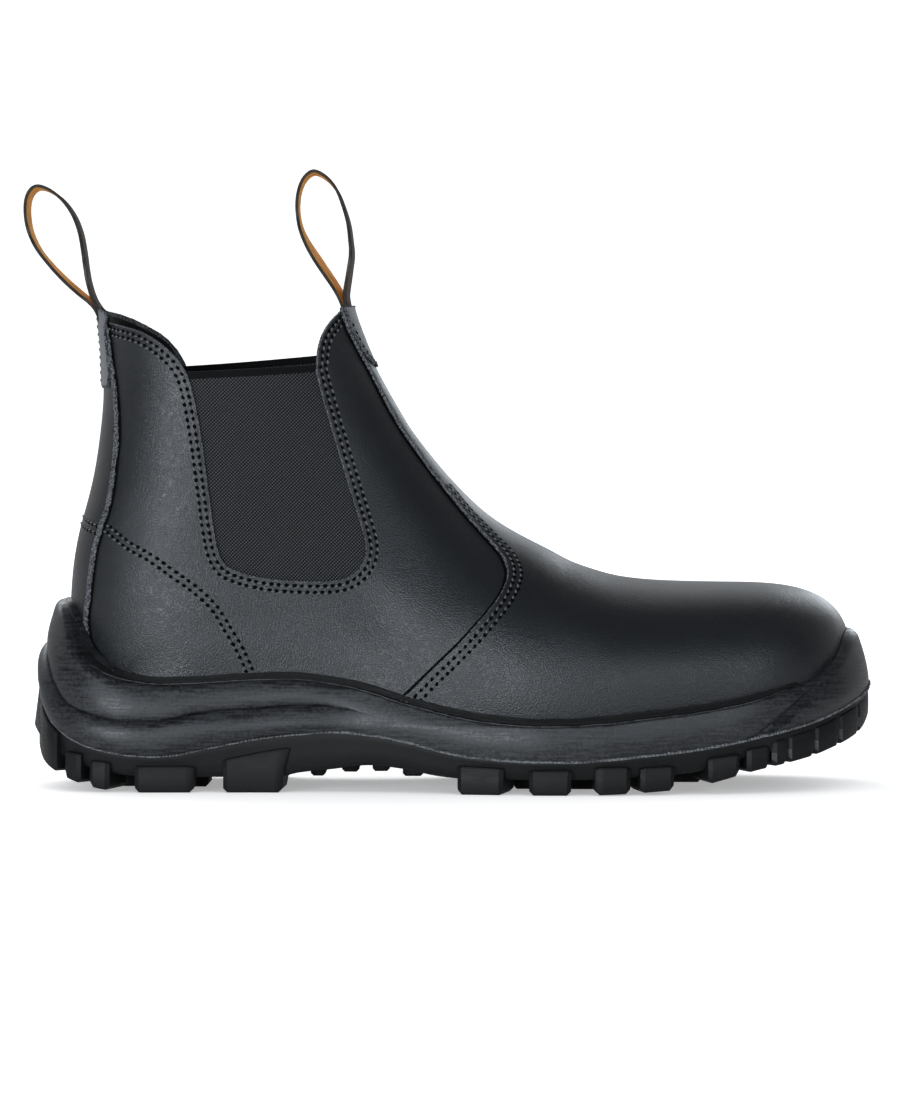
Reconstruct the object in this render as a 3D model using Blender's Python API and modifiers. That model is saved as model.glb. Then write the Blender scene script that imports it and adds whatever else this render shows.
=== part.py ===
"""Ankle-high pull-on safety boot for the right foot, standing empty on its sole.

All sizes below are in millimetres, measured from the back of the heel (x), the line of the
last (y, medial side positive) and the floor (z). MM turns them into Blender's metres.
"""

import math
from collections import namedtuple

import bmesh
import bpy
from mathutils import Vector
from mathutils.bvhtree import BVHTree

MM = 0.001

# Driving sizes of the boot
LENGTH = 310.0
WALL = 2.2
GAP = 0.35
FRAME_X = 153.8
FRAME_Y = 0.3

# Driving sizes of the outsole
SOLE_POINTS = 33
HEEL_ROUND = 42.0
HEEL_ROUND_POWER = 2.1
TOE_ROUND = 60.0
TOE_ROUND_POWER = 2.4
RIM_WIDTH = 7.0
RIM_LEDGE = 1.1
WALL_LEAN = 0.16
LIP_STEP = 0.8
FLOOR_DROP = 1.1
WELL_INSET = 9.0
WELL_BASE = 15.0
WELL_SHARE = 0.4
LUG_PROUD = 1.3
SIDE_LUG_REACH = 21.0
WAIST_BAR_SHARE = 0.62
WAIST_BAR_DROP = 2.8

# Driving sizes of the upper
COLUMNS_LOW = 5
COLUMNS_UP = 8
TOE_STATIONS = 7
LAST_STATIONS = 36
TOE_REACH = 47.5
TOE_END = 0.83
TOE_TIP_HEIGHT = 41.0
TOE_PLAN_POWER = 2.3
TOE_FEATHER_RISE = 11.0
TOE_PROFILE_POWER = 3.1
LOWER_POWER = 2.2
UPPER_POWER = 2.25

# Driving sizes of the small pieces
INSOLE_CLEARANCE = 2.3
INSOLE_PROFILE = ((0.0, 0.8), (1.0, 0.0), (4.2, 0.0), (5.0, 1.2))
GORE_THICKNESS = 1.4
GORE_RECESS = 0.5
WEBBING_WIDTH = 18.0
WEBBING_THICKNESS = 1.6

LATERAL, MEDIAL = -1, 1

# Half widths of the sole on each side of the line of the last, before the round ends
SOLE_PLAN = {
    "x": (0, 45, 80, 110, 140, 165, 190, 210, 230, 250, 310),
    "lateral": (41.5, 41.5, 41, 42, 47, 53, 57, 57.5, 56, 53.5, 48),
    "medial": (41, 41, 39.5, 37, 41, 47.5, 52, 55, 56, 55.5, 52),
}
SOLE_SWING = {"x": (0, 190, 255, 310), "y": (0, 0, 3.0, 9.0)}

# Heights along the sole: what stands on the floor, the outsole's underside, its seat for the
# midsole, the line where the two meet outside, the long groove and the lip round the upper
TREAD = {
    "x": (0, 2.6, 6, 10.4, 14.8, 19.2, 23.7, 30, 38, 46, 96, 110, 125, 140, 158, 200, 212, 225,
          241, 250, 263, 277, 286, 294.5, 303.4, 306.4, 308.6, 310),
    "z": (16.4, 13.5, 10.7, 8, 5.5, 3.7, 2.3, 1, 0.2, 0, 0, 4.2, 5.6, 3.8, 0, 0, 0.3, 1,
          2.4, 4.5, 8, 10.9, 13.1, 16, 20, 22.3, 25.2, 29),
}
UNDERSIDE = {
    "x": (0, 10, 20, 28, 45, 55, 92, 100, 112, 125, 136, 150, 160, 200, 225, 241, 250, 263, 277,
          290, 303, 310),
    "z": (21, 13, 9.4, 7.4, 5.6, 5.4, 5.4, 7, 8.3, 9.8, 8.8, 6.2, 5.4, 5.4, 6.4, 7.6, 9.6, 13,
          15.8, 19.4, 24.4, 30),
}
SEAT = {
    "x": (0, 6, 14, 25, 45, 60, 75, 100, 118, 135, 150, 165, 185, 200, 225, 255, 275, 290, 300,
          310),
    "z": (20.5, 18.5, 15.8, 13.4, 11.4, 12.4, 15.2, 18.8, 19.8, 17.2, 13.8, 11.4, 10.4, 10.5,
          12.5, 16.6, 20.4, 23.4, 26, 28.5),
}
PARTING_LINE = {
    "x": (0, 3, 5.8, 10, 17, 25, 32, 40, 47, 55, 65, 75, 86, 97, 113, 127, 138, 154, 165, 186,
          197, 211, 226, 241, 255, 274, 285, 297, 306.5, 310),
    "z": (44, 37.6, 30.6, 25, 19.2, 15.8, 14.2, 13, 12.6, 13.1, 15, 17.1, 19.1, 20.4, 21.4, 20.3,
          18.3, 14.4, 12.7, 11.5, 11.5, 12.3, 13.8, 15.4, 17.7, 22, 25, 29.8, 34.6, 37.8),
}
GROOVE = {
    "x": (0, 5, 10, 15, 19, 26, 37, 49, 61, 72, 83, 102, 113, 150, 200, 260, 310),
    "z": (53, 45, 37.6, 31.8, 29.8, 27.6, 25.6, 25.5, 28, 29.4, 30.1, 31.4, 30.7, 22.4, 18.9, 26,
          48),
}
LIP = {
    "x": (0, 2.4, 6, 10.6, 14, 19, 25, 32, 41, 49, 65, 79, 97, 113, 124, 134, 145, 154, 165, 175,
          186, 197, 210, 226, 241, 255, 264, 278, 285, 291, 297, 301, 305.5, 308, 310),
    "z": (68.2, 67.5, 65, 60.7, 56, 50.7, 46.9, 44, 42.2, 41.3, 41.8, 42.7, 43.2, 41.4, 39, 35.8,
          32.8, 30.7, 28.7, 27.7, 27.1, 27.3, 28.1, 29.9, 31.6, 33.9, 35.6, 39, 40.8, 43.4, 48,
          51.5, 55.8, 57.5, 58.2),
}
LEAN_FROM = {"x": (0, 200, 260, 310), "z": (24, 24, 32, 34)}
BAND_HEIGHT = {"x": (0, 12, 30, 255, 285, 310), "z": (2.6, 3.2, 3.3, 3.0, 1.8, 1.6)}
LIP_THICKNESS = {"x": (0, 10, 25, 50, 270, 295, 310), "z": (3.8, 3.0, 2.0, 1.8, 1.8, 2.4, 3.8)}

# Sections of the last from the toe cap's back edge to above the collar. Each is a slice that
# holds the y direction and runs from the top or front of the boot to its bottom or back.
# widest is the share of the way up to the greatest width, and feather is the width left
# at the bottom edge as a share of the greatest width, 0 where the slice closes at the heel.
Section = namedtuple("Section", "x_top z_top x_bottom z_bottom lateral medial widest feather ridge")
LAST = [
    Section(255.0, 75.1, 255.0, 23.6, 48.0, 50.2, 0.36, 0.94, 4.0),
    Section(233.0, 75.6, 232.0, 20.2, 50.8, 51.0, 0.37, 0.94, 5.0),
    Section(214.5, 76.8, 211.0, 17.9, 52.2, 50.4, 0.37, 0.94, 6.0),
    Section(200.0, 81.3, 191.0, 17.5, 51.6, 48.0, 0.37, 0.94, 6.0),
    Section(186.0, 87.5, 168.0, 18.8, 48.8, 45.0, 0.37, 0.94, 6.0),
    Section(174.0, 94.1, 144.0, 22.3, 44.0, 40.6, 0.37, 0.94, 5.0),
    Section(165.5, 100.4, 118.0, 25.6, 39.6, 37.4, 0.38, 0.93, 4.0),
    Section(158.0, 107.9, 92.0, 26.6, 37.4, 36.8, 0.38, 0.93, 3.0),
    Section(151.5, 114.9, 66.0, 26.6, 36.6, 36.4, 0.38, 0.94, 2.0),
    Section(146.0, 121.2, 42.0, 26.8, 36.2, 36.2, 0.38, 0.93, 1.3),
    Section(142.3, 126.2, 27.0, 27.2, 36.2, 36.2, 0.38, 0.66, 0.9),
    Section(140.2, 129.1, 20.6, 27.6, 36.2, 36.2, 0.38, 0.30, 0.7),
    Section(139.2, 130.7, 18.6, 28.6, 36.2, 36.2, 0.38, 0.0, 0.6),
    Section(136.5, 135.5, 15.6, 44.0, 36.0, 36.0, 0.38, 0.0, 0.3),
    Section(132.8, 142.4, 14.2, 60.0, 35.8, 35.8, 0.38, 0.0, 0.0),
    Section(129.6, 148.1, 14.8, 77.0, 35.4, 35.4, 0.40, 0.0, 0.0),
    Section(126.8, 153.5, 17.4, 93.4, 35.0, 35.0, 0.41, 0.0, 0.0),
    Section(124.3, 158.9, 20.8, 105.4, 34.8, 34.8, 0.42, 0.0, 0.0),
    Section(122.3, 164.2, 23.5, 117.4, 34.8, 34.8, 0.43, 0.0, 0.0),
    Section(120.5, 169.9, 25.4, 130.9, 35.0, 35.0, 0.44, 0.0, 0.0),
    Section(119.0, 175.9, 26.6, 144.9, 35.2, 35.2, 0.45, 0.0, 0.0),
    Section(117.8, 181.9, 26.2, 158.9, 35.4, 35.4, 0.46, 0.0, 0.0),
    Section(116.9, 187.9, 25.0, 171.9, 35.6, 35.6, 0.46, 0.0, 0.0),
    Section(116.2, 193.9, 23.6, 184.9, 35.8, 35.8, 0.46, 0.0, 0.0),
]

# Edge of the leather round the top, from the back tab down to the gore and up the front tab
COLLAR_BACK = (
    (-30, 174.1), (30, 174.1), (36, 171.2), (42, 168.6), (48, 164.8), (53, 160.2), (57, 155.2),
    (60.2, 149),
)
COLLAR_FRONT = (
    (106.4, 152.9), (106.5, 161.4), (108, 167.2), (110.8, 171.9), (114.3, 177.1), (150, 177.1),
)
COLLAR_CUT_TOP = 225.0

# Side outline of the gore: down its back edge, round the bottom and up its front edge
GORE_OUTLINE = (
    (60, 148.5), (63, 136.9), (64.9, 123.3), (66.9, 109.8), (68.3, 97.1), (70.2, 87.5),
    (73.8, 80.7), (79.7, 77.2), (91.4, 75.9), (110, 75.9), (116.8, 77.7), (121.7, 81.5),
    (123.9, 86.3), (123.1, 92.7), (119.2, 104.9), (114.9, 119.1), (111, 133.3), (108.4, 145),
    (106.5, 154.8),
)
GORE_TOP_BACK = 151.3
GORE_TOP_FRONT = 155.0
GORE_CUT_TOP = 220.0

# Centre line of each pull loop's webbing, from one sewn end round to the other
REAR_LOOP = (
    (23.6, 174.5), (21.5, 178.1), (17.8, 181.8), (12.2, 186.8), (6.7, 192.6), (2.2, 198.5),
    (-0.7, 205.1), (-1.7, 211.8), (-1.1, 217.1), (1.1, 220.3), (4.1, 220.7), (8.5, 218.6),
    (12.6, 214.9), (15.9, 209.9), (18.1, 204), (19.3, 197.7), (20.2, 191.1), (21.2, 185.5),
    (23.2, 179.8), (26, 174.5),
)
FRONT_LOOP = (
    (114.2, 177.5), (113.2, 180.5), (111.6, 184.4), (109.2, 188.9), (105.8, 194), (102.1, 200),
    (99.5, 205.9), (98.4, 212.5), (98.8, 218.5), (100.6, 223.4), (103.6, 226.2), (106.6, 225.8),
    (110.3, 223.1), (113.2, 219.1), (115.4, 213.6), (117.2, 207.4), (118, 201.4), (118.4, 196.3),
    (117.8, 191.1), (117, 185.9), (116.6, 181.3), (116.7, 177.5),
)

# Tread blocks along each edge of the sole, as stretches of the outline
SIDE_LUGS = (
    (0.0, 11.4), (13.2, 19.0), (21.4, 28.6), (37.8, 59.2), (70.4, 94.0),
    (161.5, 174.5), (184.0, 199.6), (208.5, 221.4), (224.6, 237.2), (250.0, 261.8), (264.6, 273.0),
    (277.4, 284.2), (287.6, 293.2), (296.4, 300.6), (303.2, 306.4), (308.2, 310.0),
)
# Blocks down the middle of the sole: where each starts and ends, and its half width
MIDDLE_LUGS = (
    (34.0, 46.0, 11.0), (54.0, 66.0, 12.0), (74.0, 90.0, 12.0),
    (158.0, 172.0, 22.0), (178.0, 190.0, 24.0), (197.0, 209.0, 26.0), (216.0, 228.0, 26.0),
    (235.0, 246.0, 24.0), (253.0, 263.0, 20.0), (269.0, 277.0, 14.0),
)
LUG_RISE = {
    "x": (0, 6, 12, 30, 62, 70, 94, 100, 255, 285, 310),
    "z": (3, 6, 8.5, 9.5, 9.6, 13.5, 14.5, 9.5, 9.5, 8.5, 6),
}
WAIST_BARS = ((104.0, 109.5), (115.4, 121.7), (126.5, 132.8), (137.5, 145.0))


def curve_slopes(places, values):
    """Slopes of the monotone cubic through a table's points."""
    spans = [after - before for before, after in zip(places, places[1:])]
    steps = [(after - before) / span for before, after, span in zip(values, values[1:], spans)]
    slopes = [steps[0]]
    for before, after in zip(steps, steps[1:]):
        slopes.append(0.0 if before * after <= 0 else 2 * before * after / (before + after))
    slopes.append(steps[-1])
    return slopes


def along(table, at, column="z"):
    """Value of a table's column at a place, on a smooth curve that never overshoots its rows."""
    places, values = table["x"], table[column]
    if at <= places[0]:
        return values[0]
    if at >= places[-1]:
        return values[-1]
    row = max(i for i in range(len(places) - 1) if places[i] <= at)
    slopes = curve_slopes(places, values)
    span = places[row + 1] - places[row]
    t = (at - places[row]) / span
    return (
        values[row] * (1 + 2 * t) * (1 - t) ** 2
        + span * slopes[row] * t * (1 - t) ** 2
        + values[row + 1] * t * t * (3 - 2 * t)
        + span * slopes[row + 1] * t * t * (t - 1)
    )


def eased(value, start, end):
    """Smooth step from 0 at start to 1 at end."""
    t = min(1.0, max(0.0, (value - start) / (end - start)))
    return t * t * (3 - 2 * t)


def round_end(share, power):
    """Half width of a rounded end, 1 at its start and 0 at its tip."""
    return max(0.0, 1 - share**power) ** (1 / power)


# Scene


def clear_scene():
    for obj in list(bpy.data.objects):
        bpy.data.objects.remove(obj)


def make_collection(name):
    collection = bpy.data.collections.new(name)
    bpy.context.scene.collection.children.link(collection)
    return collection


def make_material(name, colour, roughness):
    material = bpy.data.materials.new(name)
    material.use_nodes = True
    shader = material.node_tree.nodes["Principled BSDF"]
    shader.inputs["Base Color"].default_value = (*colour, 1.0)
    shader.inputs["Roughness"].default_value = roughness
    shader.inputs["Metallic"].default_value = 0.0
    return material


def make_object(name, mesh, collection, root, material=None):
    obj = bpy.data.objects.new(name, mesh)
    collection.objects.link(obj)
    obj.parent = root
    if material:
        obj.data.materials.append(material)
    return obj


def make_cutter(name, mesh, collection, root):
    cutter = make_object(name, mesh, collection, root)
    cutter.hide_render = True
    cutter.display_type = "WIRE"
    return cutter


def add_boolean(obj, cutter, operation, touching=False):
    modifier = obj.modifiers.new(f"{operation.lower()} {cutter.name}", "BOOLEAN")
    modifier.operation = operation
    modifier.object = cutter
    modifier.solver = "EXACT"
    modifier.use_self = touching


def smooth_shade(obj, degrees=40):
    obj.data.shade_smooth()
    obj.data.set_sharp_from_angle(angle=math.radians(degrees))


def mesh_from(name, bm):
    """Finish a bmesh of points in millimetres as a mesh in metres."""
    bmesh.ops.scale(bm, vec=(MM, MM, MM), verts=bm.verts)
    mesh = bpy.data.meshes.new(name)
    bm.to_mesh(mesh)
    bm.free()
    return mesh


# Rings round the sole


def outline_places():
    """Places round the sole's outline: along the lateral side, then back along the medial side."""
    count = SOLE_POINTS
    places = [LENGTH * (1 - math.cos(math.pi * i / count)) / 2 for i in range(count + 1)]
    return [(x, LATERAL) for x in places] + [(x, MEDIAL) for x in reversed(places[1:-1])]


def outline_point(x, side):
    """Point of the sole's outline in plan."""
    width = along(SOLE_PLAN, x, "lateral" if side == LATERAL else "medial")
    if x < HEEL_ROUND:
        width *= round_end(1 - x / HEEL_ROUND, HEEL_ROUND_POWER)
    if x > LENGTH - TOE_ROUND:
        width *= round_end((x - LENGTH + TOE_ROUND) / TOE_ROUND, TOE_ROUND_POWER)
    return Vector((x, along(SOLE_SWING, x, "y") + side * width, 0.0))


def outward_normals(points):
    """Plan normals of a closed outline that runs counter-clockwise."""
    normals = []
    for k, _ in enumerate(points):
        tangent = points[(k + 1) % len(points)] - points[k - 1]
        normals.append(Vector((tangent.y, -tangent.x, 0.0)).normalized())
    return normals


PLACES = outline_places()
OUTLINE = [outline_point(x, side) for x, side in PLACES]
NORMALS = outward_normals(OUTLINE)


def ring(height, inset):
    """Ring round the sole. height and inset are functions of the place along the sole."""
    points = []
    for (x, side), point, normal in zip(PLACES, OUTLINE, NORMALS):
        moved = point - normal * inset(x, side)
        points.append(Vector((moved.x, moved.y, height(x))))
    return points


def add_patch(bm, corners):
    """Face through three corners, or two through four, split along the shorter diagonal."""
    if len(corners) == 3:
        bm.faces.new(corners)
        return
    a, b, c, d = corners
    if (a.co - c.co).length <= (b.co - d.co).length:
        bm.faces.new((a, b, c))
        bm.faces.new((a, c, d))
    else:
        bm.faces.new((a, b, d))
        bm.faces.new((b, c, d))


def ruled_cap(bm, verts, upward):
    """Close a ring with strips that run straight across from the lateral to the medial side."""
    half = len(verts) // 2
    for i in range(half):
        corners = [verts[i], verts[i + 1]]
        if i < half - 1:
            corners.append(verts[-(i + 1)])
        if i > 0:
            corners.append(verts[-i])
        add_patch(bm, corners if upward else corners[::-1])


def stack_rings(rings):
    """Closed bmesh through rings from bottom to top, with ruled caps."""
    bm = bmesh.new()
    layers = [[bm.verts.new(p) for p in points] for points in rings]
    for low, high in zip(layers, layers[1:]):
        for k in range(len(low)):
            after = (k + 1) % len(low)
            add_patch(bm, (low[k], low[after], high[after], high[k]))
    ruled_cap(bm, layers[0], upward=False)
    ruled_cap(bm, layers[-1], upward=True)
    return bm


def lean(x, height):
    """How far the sole's wall has leaned inwards at a height."""
    return WALL_LEAN * max(0.0, height - along(LEAN_FROM, x))


# Upper


def last_section(station):
    """Section of the last at a station. Those below 0 round the toe, which would close at -1."""
    if station <= 0:
        share = math.sin(-station * math.pi / 2)
        base = LAST[0]
        x = base.x_top + TOE_REACH * share
        width = round_end(share, TOE_PLAN_POWER)
        rise = (base.z_top - TOE_TIP_HEIGHT) * round_end(share, TOE_PROFILE_POWER)
        return base._replace(
            x_top=x, x_bottom=x, z_top=TOE_TIP_HEIGHT + rise, z_bottom=toe_feather(x),
            lateral=base.lateral * width, medial=base.medial * width,
        )
    rows = {"x": tuple(range(len(LAST)))}
    rows.update({name: tuple(getattr(s, name) for s in LAST) for name in Section._fields})
    return Section(*(along(rows, station, name) for name in Section._fields))


def toe_feather(x):
    """Height of the upper's bottom edge under the toe cap."""
    base = LAST[0]
    return base.z_bottom + TOE_FEATHER_RISE * ((x - base.x_bottom) / TOE_REACH) ** 1.15


def quarter_turn(count, first, last):
    """Angles from first to last, in even steps."""
    return [first + (last - first) * i / count for i in range(count + 1)]


def section_points(station):
    """Points across the upper, from the lateral bottom edge over the top to the medial one."""
    s = last_section(station)
    bottom, top = Vector((s.x_bottom, 0, s.z_bottom)), Vector((s.x_top, 0, s.z_top))
    height = (top - bottom).length
    up = (top - bottom).normalized()
    widest = s.widest * height
    drop = widest / (1 - s.feather**LOWER_POWER) ** (1 / LOWER_POWER)
    foot_angle = math.acos(s.feather ** (LOWER_POWER / 2))
    swing = along(SOLE_SWING, s.x_top, "y")

    half = []
    for angle in quarter_turn(COLUMNS_LOW, foot_angle, 0)[:-1]:
        share = math.cos(angle) ** (2 / LOWER_POWER)
        half.append((widest - drop * math.sin(angle) ** (2 / LOWER_POWER), share))
    for angle in quarter_turn(COLUMNS_UP, 0, math.pi / 2):
        share = max(0.0, math.cos(angle)) ** (2 / UPPER_POWER)
        half.append((widest + (height - widest) * math.sin(angle) ** (2 / UPPER_POWER), share))
    half[-1] = (height, 0.0)
    if s.feather == 0:
        half[0] = (0.0, 0.0)

    def place(rise, width):
        ridge = s.ridge * (rise / height) ** 2
        return bottom + up * rise + Vector((0, swing + ridge + width, 0))

    lateral = [place(rise, -s.lateral * width) for rise, width in half]
    medial = [place(rise, s.medial * width) for rise, width in half[:-1]]
    return lateral + medial[::-1]


def stations():
    toe = [TOE_END * (i / TOE_STATIONS - 1) for i in range(TOE_STATIONS)]
    rest = [(len(LAST) - 1) * i / LAST_STATIONS for i in range(LAST_STATIONS + 1)]
    return toe + rest


def close_across(bm, row):
    """Close an end of the last with strips from its lateral to its medial side."""
    middle = len(row) // 2
    for j in range(middle - 1):
        add_patch(bm, (row[j], row[-1 - j], row[-2 - j], row[j + 1]))
    add_patch(bm, (row[middle - 1], row[middle + 1], row[middle]))


def add_floor(bm, grid):
    """Close the last underneath, a little below the upper's bottom edge."""
    edges = []
    for row in grid:
        lateral, medial = row[0], row[-1]
        low = [bm.verts.new(v.co - Vector((0, 0, FLOOR_DROP))) for v in (lateral, medial)]
        edges.append((lateral, medial, *low))
        if (lateral.co - medial.co).length < 0.01:
            break
    lateral, medial, low_lateral, low_medial = edges[0]
    add_patch(bm, (lateral, medial, low_medial, low_lateral))
    for first, second in zip(edges, edges[1:]):
        add_patch(bm, (first[0], second[0], second[2], first[2]))
        add_patch(bm, (second[1], first[1], first[3], second[3]))
        add_patch(bm, (first[2], second[2], second[3], first[3]))


def last_bmesh(closed, grow=0.0):
    """The last as a bmesh: an open sheet for the upper, or a closed form grown outwards."""
    bm = bmesh.new()
    grid = [[bm.verts.new(p) for p in section_points(s)] for s in stations()]
    for row, after in zip(grid, grid[1:]):
        for j in range(len(row) - 1):
            add_patch(bm, (row[j], after[j], after[j + 1], row[j + 1]))
    close_across(bm, grid[0])
    if closed:
        close_across(bm, grid[-1])
        add_floor(bm, grid)
    bmesh.ops.remove_doubles(bm, verts=bm.verts, dist=0.02)
    bmesh.ops.dissolve_degenerate(bm, edges=bm.edges, dist=0.02)
    bmesh.ops.recalc_face_normals(bm, faces=bm.faces)
    if not closed:
        widest = max(bm.faces, key=lambda f: f.calc_center_median().y)
        if widest.normal.y < 0:
            bmesh.ops.reverse_faces(bm, faces=bm.faces)
    if grow:
        bm.normal_update()
        moves = [(v, v.normal * grow) for v in bm.verts]
        for vert, move in moves:
            vert.co += move
    return bm


def prism_mesh(name, outline, half_depth, middle=0.0):
    """Solid with a side outline in x and z, and half_depth either way of the middle along y."""
    bm = bmesh.new()
    front = [bm.verts.new((x, middle - half_depth, z)) for x, z in outline]
    back = [bm.verts.new((x, middle + half_depth, z)) for x, z in outline]
    bm.faces.new(front)
    bm.faces.new(back[::-1])
    for i in range(len(outline)):
        after = (i + 1) % len(outline)
        bm.faces.new((front[after], front[i], back[i], back[after]))
    bmesh.ops.recalc_face_normals(bm, faces=bm.faces)
    return mesh_from(name, bm)


def shrunk(outline, by):
    """Closed outline moved inwards by a distance, corner by corner."""
    area = sum(a[0] * b[1] - b[0] * a[1] for a, b in zip(outline, outline[1:] + outline[:1]))
    turn = 1 if area > 0 else -1
    moved = []
    for i, (x, z) in enumerate(outline):
        before, after = Vector(outline[i - 1]), Vector(outline[(i + 1) % len(outline)])
        first = (Vector((x, z)) - before).normalized()
        second = (after - Vector((x, z))).normalized()
        inward = (Vector((-first.y, first.x)) + Vector((-second.y, second.x))) * turn
        spread = max(0.3, 1 + first.dot(second))
        moved.append((x + inward.x * by / spread, z + inward.y * by / spread))
    return moved


def collar_cut_outline():
    corners = list(COLLAR_BACK) + list(COLLAR_FRONT)
    front, back = COLLAR_FRONT[-1][0], COLLAR_BACK[0][0]
    return corners + [(front, COLLAR_CUT_TOP), (back, COLLAR_CUT_TOP)]


def gore_cut_outline():
    """The gore's opening, carried on upwards past the collar."""
    front, back = GORE_OUTLINE[-1][0], GORE_OUTLINE[0][0]
    return list(GORE_OUTLINE) + [(front, GORE_CUT_TOP), (back, GORE_CUT_TOP)]


def gore_outline():
    """The elastic itself, with a straight top edge."""
    front, back = GORE_OUTLINE[-1][0], GORE_OUTLINE[0][0]
    return [*GORE_OUTLINE[:-1], (front, GORE_TOP_FRONT), (back, GORE_TOP_BACK)]


def build_upper(parts, cutters, root):
    """Leather upper: one hollow wall, open at the collar, the gores and underneath."""
    leather = make_material("leather", (0.035, 0.037, 0.040), 0.42)
    sheet = mesh_from("upper", last_bmesh(closed=False))
    upper = make_object("upper", sheet, parts, root, leather)
    shell = upper.modifiers.new("wall", "SOLIDIFY")
    shell.thickness = WALL * MM
    shell.offset = -1
    for name, outline in (("gore_cut", gore_cut_outline()), ("collar_cut", collar_cut_outline())):
        cutter = make_cutter(name, prism_mesh(name, outline, 90), cutters, root)
        add_boolean(upper, cutter, "DIFFERENCE")
    smooth_shade(upper)
    return upper


def build_gore(name, side, parts, cutters, root):
    """Elastic gore: a thinner wall of the upper's own shape that fills the opening on one side."""
    elastic = make_material(name, (0.018, 0.018, 0.020), 0.85)
    sheet = mesh_from(name, last_bmesh(closed=False, grow=-GORE_RECESS))
    gore = make_object(name, sheet, parts, root, elastic)
    shell = gore.modifiers.new("wall", "SOLIDIFY")
    shell.thickness = GORE_THICKNESS * MM
    shell.offset = -1
    outline = shrunk(gore_outline(), GAP)
    keep = make_cutter(f"{name}_keep", prism_mesh(name, outline, 45, side * 46), cutters, root)
    add_boolean(gore, keep, "INTERSECT")
    smooth_shade(gore)
    return gore


# Sole


def groove_share(x):
    """Where the long groove lies between the parting line and the shoulder, from 0 to 1."""
    low, high = along(PARTING_LINE, x), along(LIP, x) - along(BAND_HEIGHT, x)
    return min(0.8, max(0.25, (along(GROOVE, x) - low) / (high - low)))


def relief(x, share):
    """How far the midsole's wall stands out of its plain lean, at a share of its height."""
    groove = groove_share(x)
    heel = 1 - eased(x, 96, 128)
    lower = math.sin(math.pi * min(1.0, share / groove))
    upper = math.sin(math.pi * max(0.0, share - groove) / (1 - groove))
    bulges = heel * (1.3 * lower + 0.9 * upper) + (1 - heel) * 0.7 * math.sin(math.pi * share)
    bumper = 1.5 * eased(x - 268 - 26 * share, 0, 9)
    return bulges + bumper * math.sin(math.pi * min(1.0, share + 0.12)) ** 0.5


def upper_inset(tree, index, height):
    """Distance from the sole's outline inwards to the upper, at a height."""
    reach = 30.0
    start = OUTLINE[index] + NORMALS[index] * reach
    _, _, _, distance = tree.ray_cast(Vector((start.x, start.y, height)), -NORMALS[index], 2 * reach)
    return distance - reach


def midsole_rings():
    """Rings from the seat in the outsole, up the outer wall, to the lip round the upper."""
    rings = []
    for table, width in ((SEAT, RIM_WIDTH), (PARTING_LINE, RIM_LEDGE)):
        rings.append(ring(
            lambda x, table=table: along(table, x) + GAP,
            lambda x, side, width=width: width + GAP + lean(x, along(PARTING_LINE, x)),
        ))

    def shoulder(x):
        return along(LIP, x) - along(BAND_HEIGHT, x)

    for below, above in ((0.12, 0), (0.5, 0), (0.86, 0), (1, 0.04), (1, 0.4), (1, 0.8), (1, 0.94)):

        def share(x, below=below, above=above):
            groove = groove_share(x)
            return groove * below + (1 - groove) * above

        def height(x, share=share):
            low = along(PARTING_LINE, x) + GAP
            return low + (shoulder(x) - low) * share(x)

        def inset(x, side, share=share, height=height):
            return lean(x, height(x)) - relief(x, share(x))

        rings.append(ring(height, inset))

    tree = BVHTree.FromBMesh(last_bmesh(closed=True))
    for heights in (shoulder, lambda x: along(LIP, x)):
        points = []
        for index, (x, _) in enumerate(PLACES):
            inset = upper_inset(tree, index, heights(x)) - along(LIP_THICKNESS, x)
            inset = max(inset, lean(x, heights(x)) + LIP_STEP)
            moved = OUTLINE[index] - NORMALS[index] * inset
            points.append(Vector((moved.x, moved.y, heights(x))))
        rings.append(points)
    well = [p - n * WELL_INSET for p, n in zip(rings[-1], NORMALS)]
    rings.append([Vector((p.x, p.y, WELL_BASE + WELL_SHARE * p.z)) for p in well])
    return rings


def build_midsole(parts, cutters, root):
    """Foamed midsole: a cup whose lip wraps the bottom of the upper."""
    foam = make_material("midsole", (0.030, 0.032, 0.034), 0.55)
    body = mesh_from("midsole", stack_rings(midsole_rings()))
    midsole = make_object("midsole", body, parts, root, foam)
    hollow = mesh_from("foot_cut", last_bmesh(closed=True, grow=GAP))
    add_boolean(midsole, make_cutter("foot_cut", hollow, cutters, root), "DIFFERENCE")
    smooth_shade(midsole)
    return midsole


def lug_prism(bm, corners, low, high):
    """Upright block with four plan corners that run counter-clockwise."""
    bottom = [bm.verts.new((p.x, p.y, low)) for p in corners]
    top = [bm.verts.new((p.x, p.y, high)) for p in corners]
    bm.faces.new(bottom[::-1])
    bm.faces.new(top)
    for i in range(4):
        after = (i + 1) % 4
        bm.faces.new((bottom[i], bottom[after], top[after], top[i]))


def outline_normal(x, side):
    """Outward plan normal of the sole's outline at any place."""
    if x <= 0.0:
        return Vector((-1, 0, 0))
    if x >= LENGTH:
        return Vector((1, 0, 0))
    step = 0.05
    tangent = outline_point(min(LENGTH, x + step), side) - outline_point(max(0.0, x - step), side)
    return Vector((-side * tangent.y, side * tangent.x, 0.0)).normalized()


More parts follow.
